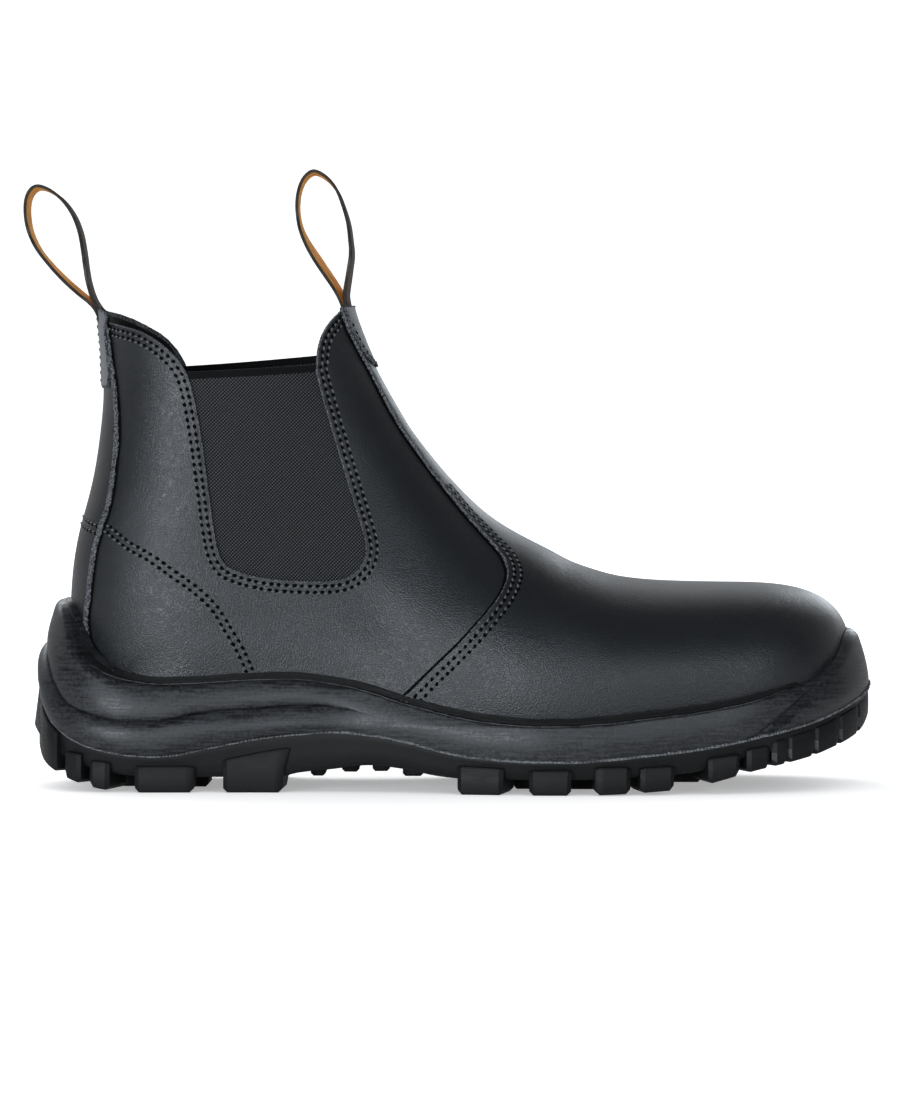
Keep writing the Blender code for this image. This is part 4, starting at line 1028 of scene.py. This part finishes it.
felt = leather_material("felt", (0.020, 0.020, 0.022), (0.055, 0.055, 0.060), 2600.0, (0.9, 1.0), 0.0004)
insole_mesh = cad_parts["insole"].data
insole_mesh.materials.clear()
insole_mesh.materials.append(felt)


# Midsole
# A foamed cup moulded between the upper and the outsole. Its wall has two bulges round the heel,
# a raised heel end, a ridge round the toe, and a narrow lip that grips the bottom of the leather.

LENGTH, HEEL_ROUND, HEEL_ROUND_POWER, TOE_ROUND, TOE_ROUND_POWER = 310.0, 42.0, 2.1, 60.0, 2.4
OUTLINE_STEPS = 190
WALL_LEAN, HEEL_END_LEAN, TOE_END_LEAN, END_LEAN_FROM, WAIST_UPRIGHT = 0.16, 0.14, 0.10, 40.0, 0.6
LOWER_BULGE, UPPER_BULGE, FORE_SWELL, BULGE_POWER = 2.1, 1.6, 0.7, 0.45
BUMPER, BUMPER_FADE, BUMPER_FROM, BUMPER_SLANT = 2.3, 1.5, 266.0, 27.0
FOLD, FOLD_FROM, FOLD_HALF = 1.3, 263.6, 3.4
RIM_LEDGE, LIP_RAGGED, PROBE = 1.1, 0.3, 30.0
SOLE_PLAN = {
    "x": (0, 45, 80, 110, 140, 165, 190, 210, 230, 250, 310),
    "lateral": (41.5, 41.5, 41, 42, 47, 53, 57, 57.5, 56, 53.5, 48),
    "medial": (41, 41, 40.6, 39.6, 42.6, 47.8, 52, 55, 56, 55.5, 52),
}
PARTING_LINE = {
    "x": (0, 3, 5.8, 10, 17, 25, 32, 40, 47, 55, 65, 75, 86, 97, 113, 127, 138, 154, 165, 186,
          197, 211, 226, 241, 255, 274, 285, 297, 306.5, 310),
    "z": (44, 37.6, 30.6, 25, 19.2, 15.8, 14.2, 13, 12.6, 13.1, 15, 17.1, 19.1, 20.4, 21.4, 20.3,
          18.3, 14.4, 12.7, 11.5, 11.5, 12.3, 13.8, 15.4, 17.7, 22, 25, 29.8, 34.6, 37.8),
}
GROOVE = {
    "x": (0, 5, 10, 15, 19, 26, 37, 49, 61, 72, 83, 102, 113, 150, 200, 260, 310),
    "z": (53, 45, 37.6, 31.8, 29.8, 27.6, 25.6, 25.5, 28, 29.4, 30.1, 31.4, 30.7, 22.4, 18.9, 26,
          48),
}
LIP = {
    "x": (0, 2.4, 6, 10.6, 14, 19, 25, 32, 41, 49, 65, 79, 97, 113, 124, 134, 145, 154, 165, 175,
          186, 197, 210, 226, 241, 255, 264, 278, 285, 291, 297, 301, 305.5, 308, 310),
    "z": (69.4, 68.2, 65.2, 60.7, 56, 50.7, 46.9, 44, 42.2, 41.3, 41.8, 42.7, 43.2, 41.4, 39, 35.8,
          32.8, 30.7, 28.7, 27.7, 27.1, 27.3, 28.1, 29.9, 31.6, 33.9, 35.6, 39, 40.8, 43.4, 48,
          51.5, 55.8, 57.5, 58.2),
}
LEAN_FROM = {"x": (0, 200, 260, 310), "z": (24, 24, 32, 34)}
BAND_HEIGHT = {"x": (0, 6, 14, 30, 255, 285, 310), "z": (0.3, 1.2, 2.6, 2.6, 2.9, 1.2, 0.3)}
SHOULDER_ROUND = {"x": (0, 12, 30, 60, 262, 285, 310), "z": (3.0, 2.6, 2.0, 0.5, 0.5, 2.2, 3.0)}
LIP_THICKNESS = {"x": (0, 10, 25, 50, 270, 295, 310), "z": (3.4, 2.6, 1.5, 1.2, 1.2, 2.0, 3.4)}


def outline_point(x, side):
    """Point of the sole's outline in plan."""
    width = along(SOLE_PLAN, x, "lateral" if side == LATERAL else "medial")
    if x < HEEL_ROUND:
        width *= round_end(1 - x / HEEL_ROUND, HEEL_ROUND_POWER)
    if x > LENGTH - TOE_ROUND:
        width *= round_end((x - LENGTH + TOE_ROUND) / TOE_ROUND, TOE_ROUND_POWER)
    return Vector((x, along(SWING, x, "y") + side * width, 0.0))


def outline_normal(x, side):
    """Outward plan normal of the sole's outline."""
    if x <= 0.0 or x >= LENGTH:
        return Vector((-1.0 if x <= 0.0 else 1.0, 0.0, 0.0))
    step = min(0.05, x, LENGTH - x)
    run = outline_point(x + step, side) - outline_point(x - step, side)
    return Vector((-side * run.y, side * run.x, 0.0)).normalized()


def round_sole(steps):
    """Places round the sole, closer together at the heel and the toe."""
    places = [LENGTH * (1 - math.cos(math.pi * i / steps)) / 2 for i in range(steps + 1)]
    return [(x, LATERAL) for x in places] + [(x, MEDIAL) for x in reversed(places[1:-1])]


PLACES = round_sole(OUTLINE_STEPS)
OUTLINE = [outline_point(x, side) for x, side in PLACES]
NORMALS = []
for k, _ in enumerate(OUTLINE):
    run = OUTLINE[(k + 1) % len(OUTLINE)] - OUTLINE[k - 1]
    NORMALS.append(Vector((run.y, -run.x, 0.0)).normalized())


def lean(x, height, side):
    """How far the sole's wall has leaned inwards at a height. It is upright at the medial waist."""
    ends = HEEL_END_LEAN * (1 - eased(x, 6, 30)) + TOE_END_LEAN * eased(x, 285, 304)
    upright = eased(x, 66, 92) * (1 - eased(x, 128, 156)) if side == MEDIAL else 0.0
    wall = WALL_LEAN * (1 - WAIST_UPRIGHT * upright) * max(0.0, height - along(LEAN_FROM, x))
    return wall + ends * max(0.0, height - END_LEAN_FROM)


def stacked(columns):
    """Closed bmesh through columns of points round the sole, with caps ruled across it."""
    bm = bmesh.new()
    layers = [[bm.verts.new(p) for p in points] for points in zip(*columns)]
    count = len(layers[0])
    for low, high in zip(layers, layers[1:]):
        for k in range(count):
            after = (k + 1) % count
            bm.faces.new((low[k], low[after], high[after], high[k]))
    for layer, upward in ((layers[0], False), (layers[-1], True)):
        for i in range(count // 2):
            corners = [layer[i], layer[i + 1]]
            if i < count // 2 - 1:
                corners.append(layer[-(i + 1)])
            if i > 0:
                corners.append(layer[-i])
            bm.faces.new(corners if upward else corners[::-1])
    return bm


def groove_share(x):
    """Where the long groove lies between the parting line and the shoulder, from 0 to 1."""
    low, high = along(PARTING_LINE, x), along(LIP, x) - along(BAND_HEIGHT, x)
    return min(0.8, max(0.25, (along(GROOVE, x) - low) / (high - low)))


def relief(x, share, groove):
    """How far the midsole's wall stands out of its plain lean, at a share of its height."""
    heel, heel_end = 1 - eased(x, 96, 128), 1 - eased(x, 10, 40)
    lower = max(0.0, math.sin(math.pi * min(1.0, share / groove))) ** BULGE_POWER
    climb = max(0.0, share - groove) / (1 - groove)
    upper = max(0.0, math.sin(math.pi * climb)) ** BULGE_POWER
    upper += heel_end * (math.sin(math.pi * min(0.5, climb)) ** BULGE_POWER - upper)
    bulges = heel * (LOWER_BULGE * lower + UPPER_BULGE * upper)
    bulges += (1 - heel) * FORE_SWELL * math.sin(math.pi * share)
    bumper = (BUMPER - BUMPER_FADE * eased(x, 292, 310)) * eased(x - BUMPER_FROM - BUMPER_SLANT * share, 0, 3)
    from_fold = abs(x - FOLD_FROM - BUMPER_SLANT * share)
    fold = FOLD * max(0.0, 1 - from_fold / FOLD_HALF) * (1 - eased(share, 0.7, 0.92))
    return bulges + bumper * math.sin(math.pi * min(0.5, share + 0.12)) ** 0.5 - fold


def leather_inset(index, x, height):
    """Distance from the sole's outline inwards to the leather at a height."""
    start = OUTLINE[index] + NORMALS[index] * PROBE
    start.z = height
    reach = []
    for tree in (tree_outer, tree_under):
        _, _, _, distance = tree.ray_cast(start, -NORMALS[index], 2 * PROBE)
        reach.append(distance - PROBE if distance else 8.0)
    over = max(eased(x, 132, 146), 1 - eased(x, 20, 26))
    return reach[0] * over + reach[1] * (1 - over)


def set_in(index, rows):
    """Points at heights above one place of the sole's outline, each set in from it."""
    return [OUTLINE[index] - NORMALS[index] * inset + Vector((0, 0, z)) for inset, z in rows]


BELOW_GROOVE = (0.0, 0.05, 0.12, 0.22, 0.34, 0.46, 0.58, 0.7, 0.8, 0.88, 0.94, 0.98)
ABOVE_GROOVE = (0.0, 0.03, 0.08, 0.15, 0.25, 0.36, 0.48, 0.6, 0.71, 0.8, 0.87, 0.93, 0.97, 1.0)
chance = np.random.default_rng(5)
columns = []
for index, (x, side) in enumerate(PLACES):
    low, lip = along(PARTING_LINE, x) + 0.15, along(LIP, x)
    shoulder = lip - along(BAND_HEIGHT, x)
    groove = groove_share(x)
    shares = [groove * b for b in BELOW_GROOVE] + [groove + (1 - groove) * a for a in ABOVE_GROOVE]
    foot, top = leather_inset(index, x, shoulder), leather_inset(index, x, lip)
    thick, roll, band = along(LIP_THICKNESS, x), along(SHOULDER_ROUND, x), lip - shoulder
    sunk = eased(x, 1, 14) * (1 - eased(x, 268, 300))
    ragged = LIP_RAGGED * chance.random() * sunk
    rows = [(RIM_LEDGE + 6.0 + lean(x, low, side), low - 0.3), (RIM_LEDGE + lean(x, low, side), low)]
    for share in shares:
        z = low + (shoulder - low) * share
        over = max(0.0, (z - shoulder + roll) / roll)
        turned_in = roll * (1 - math.sqrt(max(0.0, 1 - over * over)))
        rows.append((lean(x, z, side) - relief(x, share, groove) + turned_in, z))
    edge = rows[-1][0]
    band_low = edge + 0.3 + sunk * max(foot - thick - edge - 0.3, 0.4)
    band_high = edge + 0.4 + sunk * max(top - thick - edge - 0.4, 0.3)
    inner = max(top, band_high + 0.4)
    rows += [(edge + 0.1 - ragged, shoulder + 0.06 * band + ragged), (edge + 0.25, shoulder + 0.12 * band)]
    rows += [(band_low - 0.05, shoulder + 0.13 * band), (band_low, shoulder + 0.2 * band)]
    rows += [((band_low + band_high) / 2, shoulder + 0.54 * band), (band_high, shoulder + 0.88 * band)]
    rows += [(band_high + 0.1, lip - 0.06 * band), (band_high + 0.4, lip), (inner + 0.2, lip + 0.02)]
    rows += [(inner + 2.0, lip - 3.0), (inner + 4.5, floor_height(max(x, 255.0)) - 4.0)]
    columns.append(set_in(index, rows))

moulded, entry, leave = node_tree(
    "moulded_skin", "ShaderNodeTree", {"Vector": "Vector", "Speck Scale": "Float"},
    {"Height": "Float", "Tone": "Float"},
)
drawn = add_node(moulded, "ShaderNodeMapping", {"Vector": entry["Vector"], "Scale": (110.0, 110.0, 1700.0)})
brushed = add_node(moulded, "ShaderNodeTexNoise", {"Vector": drawn.outputs[0], "Scale": 1.0, "Detail": 4.0})
specks = add_node(
    moulded, "ShaderNodeTexNoise",
    {"Vector": entry["Vector"], "Scale": entry["Speck Scale"], "Detail": 4.0, "Roughness": 0.65},
)
total = math_node(moulded, "ADD", brushed.outputs["Fac"], specks.outputs["Fac"])
moulded.links.new(specks.outputs["Fac"], leave["Height"])
moulded.links.new(math_node(moulded, "MULTIPLY", total, 0.5), leave["Tone"])


def rubber_material(name, dark, light, gloss, depth, shine=0.5):
    """Moulded rubber or foam with a faint skin."""
    scales = {"Speck Scale": 900.0}
    material, tree, shader, skin = patterned(name, moulded, scales, {"Specular IOR Level": shine})
    share = range_node(tree, skin["Tone"], (0.42, 0.59))
    tree.links.new(range_node(tree, share, to=gloss), shader.inputs["Roughness"])
    finish_surface(tree, shader, two_tones(tree, share, dark, light), skin["Height"], 0.3, depth)
    return material


foam = rubber_material("foam", (0.0045, 0.0050, 0.0060), (0.034, 0.036, 0.041), (0.36, 0.54), 0.0002, 0.48)
# Paler foam on the shoulder's edge and the lip's top: a painted highlight along both edges.
edge_highlight_foam = rubber_material("edge_highlight_foam", (0.015, 0.016, 0.018), (0.085, 0.088, 0.095), (0.5, 0.7), 0.0002)
# Near-black foam on the recessed band under the lip: painted shade of the recess.
band_shade_foam = rubber_material(
    "band_shade_foam", (0.003, 0.0032, 0.0036), (0.008, 0.0084, 0.009), (0.6, 0.8), 0.0001, 0.25,
)
FOAM, EDGE_HIGHLIGHT, BAND_SHADE = range(3)
EDGE_HIGHLIGHT_FROM, EDGE_HIGHLIGHT_TO, BAND_FROM, BAND_FULL, BAND_ROWS = 40.0, 276.0, 8.0, 45.0, 7
cup = stacked(columns)
cup.faces.ensure_lookup_table()
shoulder_row = 1 + len(BELOW_GROOVE) + len(ABOVE_GROOVE)
# The recessed band's faces take the near-black foam, painted shade.
for index, (x, _) in enumerate(PLACES):
    for row in range(shoulder_row + (2 if x > BAND_FULL else 3), shoulder_row + BAND_ROWS):
        cup.faces[row * len(PLACES) + index].material_index = BAND_SHADE if x > BAND_FROM else FOAM
    # The shoulder's edge and the lip's top take the paler foam, a painted highlight.
    if EDGE_HIGHLIGHT_FROM < x < EDGE_HIGHLIGHT_TO:
        for row in (shoulder_row, shoulder_row + BAND_ROWS):
            cup.faces[row * len(PLACES) + index].material_index = EDGE_HIGHLIGHT
join_boot(boot_piece("midsole_cup", cup, [foam, edge_highlight_foam, band_shade_foam], 42), "midsole")


# Outsole
# A plate of hard black rubber joined to the midsole in the mould, with separate tread blocks along
# both edges and down the middle, and bars across the waist.

LUG_PROUD, LUG_REACH, LUG_STEP, TOE_LUGS_FROM = 1.3, 21.0, 1.5, 265.0
WAIST_BAR_SHARE, WAIST_BAR_DROP, BAR_SUNK = 0.62, 2.8, 3.0
TREAD = {
    "x": (0, 2.6, 6, 10.4, 14.8, 19.2, 23.7, 30, 38, 46, 96, 110, 125, 140, 158, 200, 212, 225,
          241, 250, 263, 277, 286, 294.5, 303.4, 306.4, 308.6, 310),
    "z": (16.4, 13.5, 10.7, 8, 5.5, 3.7, 2.3, 1, 0.2, 0, 0, 4.2, 5.6, 3.8, 0, 0, 0.3, 1,
          2.4, 4.5, 8, 10.9, 13.1, 16, 20, 22.3, 25.2, 29),
}
UNDERSIDE = {
    "x": (0, 10, 20, 28, 45, 55, 92, 100, 112, 125, 136, 150, 160, 200, 225, 241, 250, 263, 277,
          290, 303, 310),
    "z": (21, 13, 9.4, 7.4, 5.6, 5.4, 5.4, 7, 8.3, 9.8, 8.8, 6.2, 5.4, 5.4, 6.4, 7.6, 9.6, 13,
          15.8, 19.4, 24.4, 30),
}
# Blocks along each edge: where each starts and ends, the height of its top at both ends, and how
# far the top of its front end reaches over the bottom. No height means up to the parting line.
SIDE_LUGS = (
    (0.0, 13.0, None, None, 0.0), (15.7, 21.7, 14.6, 13.8, 0.0), (25.0, 32.2, 11.6, 11.0, 0.0),
    (41.3, 62.5, 9.6, 9.6, 0.4), (73.0, 94.4, 11.8, 16.4, 2.8), (157.4, 173.6, 10.4, 9.7, 0.4),
    (182.8, 197.7, 9.0, 9.0, 0.6), (206.3, 218.8, 10.2, 10.2, 0.0), (222.4, 234.4, 9.9, 10.4, 0.6),
    (246.8, 258.0, 13.0, 14.4, 0.6), (260.8, 269.2, 16.0, 17.4, 0.4), (270.4, 275.8, None, None, 0.0),
    (276.1, 285.9, None, None, 0.0), (286.1, 295.6, None, None, 0.0), (295.8, 303.7, None, None, 0.0),
    (303.9, 310.0, None, None, 0.0),
)
MIDDLE_LUGS = (
    (34.0, 46.0, 11.0), (54.0, 66.0, 12.0), (74.0, 90.0, 12.0),
    (158.0, 172.0, 22.0), (178.0, 190.0, 24.0), (197.0, 209.0, 26.0), (216.0, 228.0, 26.0),
    (235.0, 246.0, 24.0), (253.0, 263.0, 20.0), (269.0, 277.0, 14.0),
)
WAIST_BARS = ((104.0, 109.5), (115.4, 121.7), (126.5, 132.8), (137.5, 145.0))
CHAMFER, SIPE = 0.9, 1.2


def lofted(bm, sections):
    """Close a row of equal polygons into a solid, and return its faces."""
    rows = [[bm.verts.new(p) for p in section] for section in sections]
    count = len(rows[0])
    faces = [bm.faces.new(rows[0][::-1]), bm.faces.new(rows[-1])]
    for row, after in zip(rows, rows[1:]):
        for k in range(count):
            turn = (k + 1) % count
            faces.append(bm.faces.new((row[k], row[turn], after[turn], after[k])))
    bmesh.ops.recalc_face_normals(bm, faces=faces)
    return faces


def side_lug(bm, start, end, top_start, top_end, flare, side):
    """A tread block that follows the sole's outline, with small chamfers all round."""
    first, last = (math.acos(1 - 2 * x / LENGTH) for x in (start, end))
    count = max(4, round((outline_point(end, side) - outline_point(start, side)).length / LUG_STEP))
    sections = []
    for i in range(count + 1):
        x = LENGTH * (1 - math.cos(first + (last - first) * i / count)) / 2
        at_end = (i == 0 and start > 0) or (i == count and end < LENGTH)
        cut = CHAMFER if at_end else 0.0
        sipe = SIPE if i == 0 and start > TOE_LUGS_FROM else 0.0
        point, normal = outline_point(x, side), outline_normal(x, side)
        ahead = Vector((side * normal.y, -side * normal.x, 0.0))
        proud = LUG_PROUD * eased(min(x, LENGTH - x), 0, 12) * (1 - 0.6 * eased(x, 255, 275))
        low = along(TREAD, x) + 1.6 * cut
        if top_start is None:
            high = along(PARTING_LINE, x) - 0.9 - 1.6 * eased(x, 262, 270) - 0.4 * cut
            face = 0.3 * cut + sipe - proud + lean(x, high, side)
        else:
            high = top_start + (top_end - top_start) * (i / count) - 0.4 * cut
            face = cut - proud
        profile = (
            (LUG_REACH, low), (face + 1.1, low), (face + 0.35, low + 0.3), (face, low + 1.2),
            (face, (low + high) / 2), (face, high - 0.9), (face + 0.3, high - 0.25), (face + 1.0, high),
            (LUG_REACH, high),
        )
        section = []
        for inset, z in profile:
            over = flare * ((z - low) / (high - low)) ** 2.5 * (i / count) ** 4
            section.append(point - normal * inset + ahead * over + Vector((0, 0, z)))
        sections.append(section)
    # On the toe lugs the lower half of the notched front end is paler rubber: a painted highlight on the
    # bevel.
    lit_bevel_face = lofted(bm, sections)[5]
    if start > TOE_LUGS_FROM:
        lit_bevel_face.material_index = 1


def cross_bar(bm, start, end, lateral, medial, low, high):
    """A straight bar across the sole with chamfered lower edges."""
    sections = []
    for y, cut in ((lateral, CHAMFER), (lateral + CHAMFER, 0), (medial - CHAMFER, 0), (medial, CHAMFER)):
        profile = ((start + cut, high), (start + cut, low + 1 + cut), (start + cut + 1, low + cut),
                   (end - cut - 1, low + cut), (end - cut, low + 1 + cut), (end - cut, high))
        sections.append([Vector((x, y, z)) for x, z in profile])
    lofted(bm, sections)


columns = []
for index, (x, side) in enumerate(PLACES):
    under, part = along(UNDERSIDE, x), along(PARTING_LINE, x)
    edge, wall = lean(x, part, side), 1.3 - 0.8 * eased(x, 256, 270)
    rows = [(6.0, under), (3.0, under), (wall + 0.6, under + 0.7), (wall, under + 2.0)]
    slope, rise = edge + 0.2 - wall, part - under - 2.4
    rows += [(wall + slope * t, under + 2.0 + rise * t) for t in (0.4, 0.8, 1.0)]
    rows += [(edge + 0.25, part - 0.1), (edge + 0.8, part), (edge + 5.0, part)]
    columns.append(set_in(index, rows))
sole = stacked(columns)
for lug in SIDE_LUGS:
    for side in (LATERAL, MEDIAL):
        side_lug(sole, *lug, side)
for start, end, half in MIDDLE_LUGS:
    middle = (start + end) / 2
    shift = along(SWING, middle, "y")
    low, high = along(TREAD, middle), along(UNDERSIDE, middle) + 2
    cross_bar(sole, start, end, shift - half, shift + half, low, high)
for start, end in WAIST_BARS:
    middle = (start + end) / 2
    lateral, medial = (WAIST_BAR_SHARE * along(SOLE_PLAN, middle, name) for name in ("lateral", "medial"))
    low = along(UNDERSIDE, middle) - WAIST_BAR_DROP
    cross_bar(sole, start, end, -lateral, medial, low, low + WAIST_BAR_DROP + BAR_SUNK)
rubber = rubber_material(
    "rubber", (0.0050, 0.0053, 0.0058), (0.0085, 0.0090, 0.0098), (0.48, 0.6), 0.00015, 0.26,
)
# Paler rubber for the toe lugs' notched fronts: a painted highlight on the bevels.
bevel_highlight_rubber = rubber_material("bevel_highlight_rubber", (0.02, 0.021, 0.022), (0.06, 0.062, 0.066), (0.5, 0.7), 0.0002)
join_boot(boot_piece("outsole_tread", sole, [rubber, bevel_highlight_rubber], 30), "outsole")


# Moulding flash
# A thin ragged line of rubber round the whole sole, squeezed out of the mould where the outsole
# meets the midsole and left untrimmed.

FLASH_HEIGHT, FLASH_REACH, FLASH_STEPS = 0.8, 0.9, 620
chance = np.random.default_rng(11)
flash = bmesh.new()
rows = []
for k, (x, side) in enumerate(round_sole(FLASH_STEPS)):
    part = along(PARTING_LINE, x)
    tooth = (0.35 if k % 2 else 1.0) * (0.6 + 0.4 * chance.random())
    out = lean(x, part, side) - max(0.0, relief(x, 0.0, groove_share(x))) - FLASH_REACH * tooth
    rise = FLASH_HEIGHT * (0.6 + 0.5 * chance.random())
    root = lean(x, part, side) + 1.5
    profile = ((root, -0.2), (out, -0.1), (out, rise), (root, rise + 0.3))
    point, normal = outline_point(x, side), outline_normal(x, side)
    rows.append([flash.verts.new(point - normal * inset + Vector((0, 0, part + z))) for inset, z in profile])
for row, after in zip(rows, rows[1:] + rows[:1]):
    for k in range(4):
        flash.faces.new((row[k], after[k], after[(k + 1) % 4], row[(k + 1) % 4]))
bmesh.ops.recalc_face_normals(flash, faces=flash.faces)
# The flash is drawn far paler than the rubber round it, so that it shows as a bright line.
flash_rubber = rubber_material("flash_rubber", (0.05, 0.052, 0.055), (0.20, 0.21, 0.22), (0.6, 0.8), 0.0002)
join_boot(boot_piece("moulding_flash", flash, [flash_rubber], 30), "midsole")
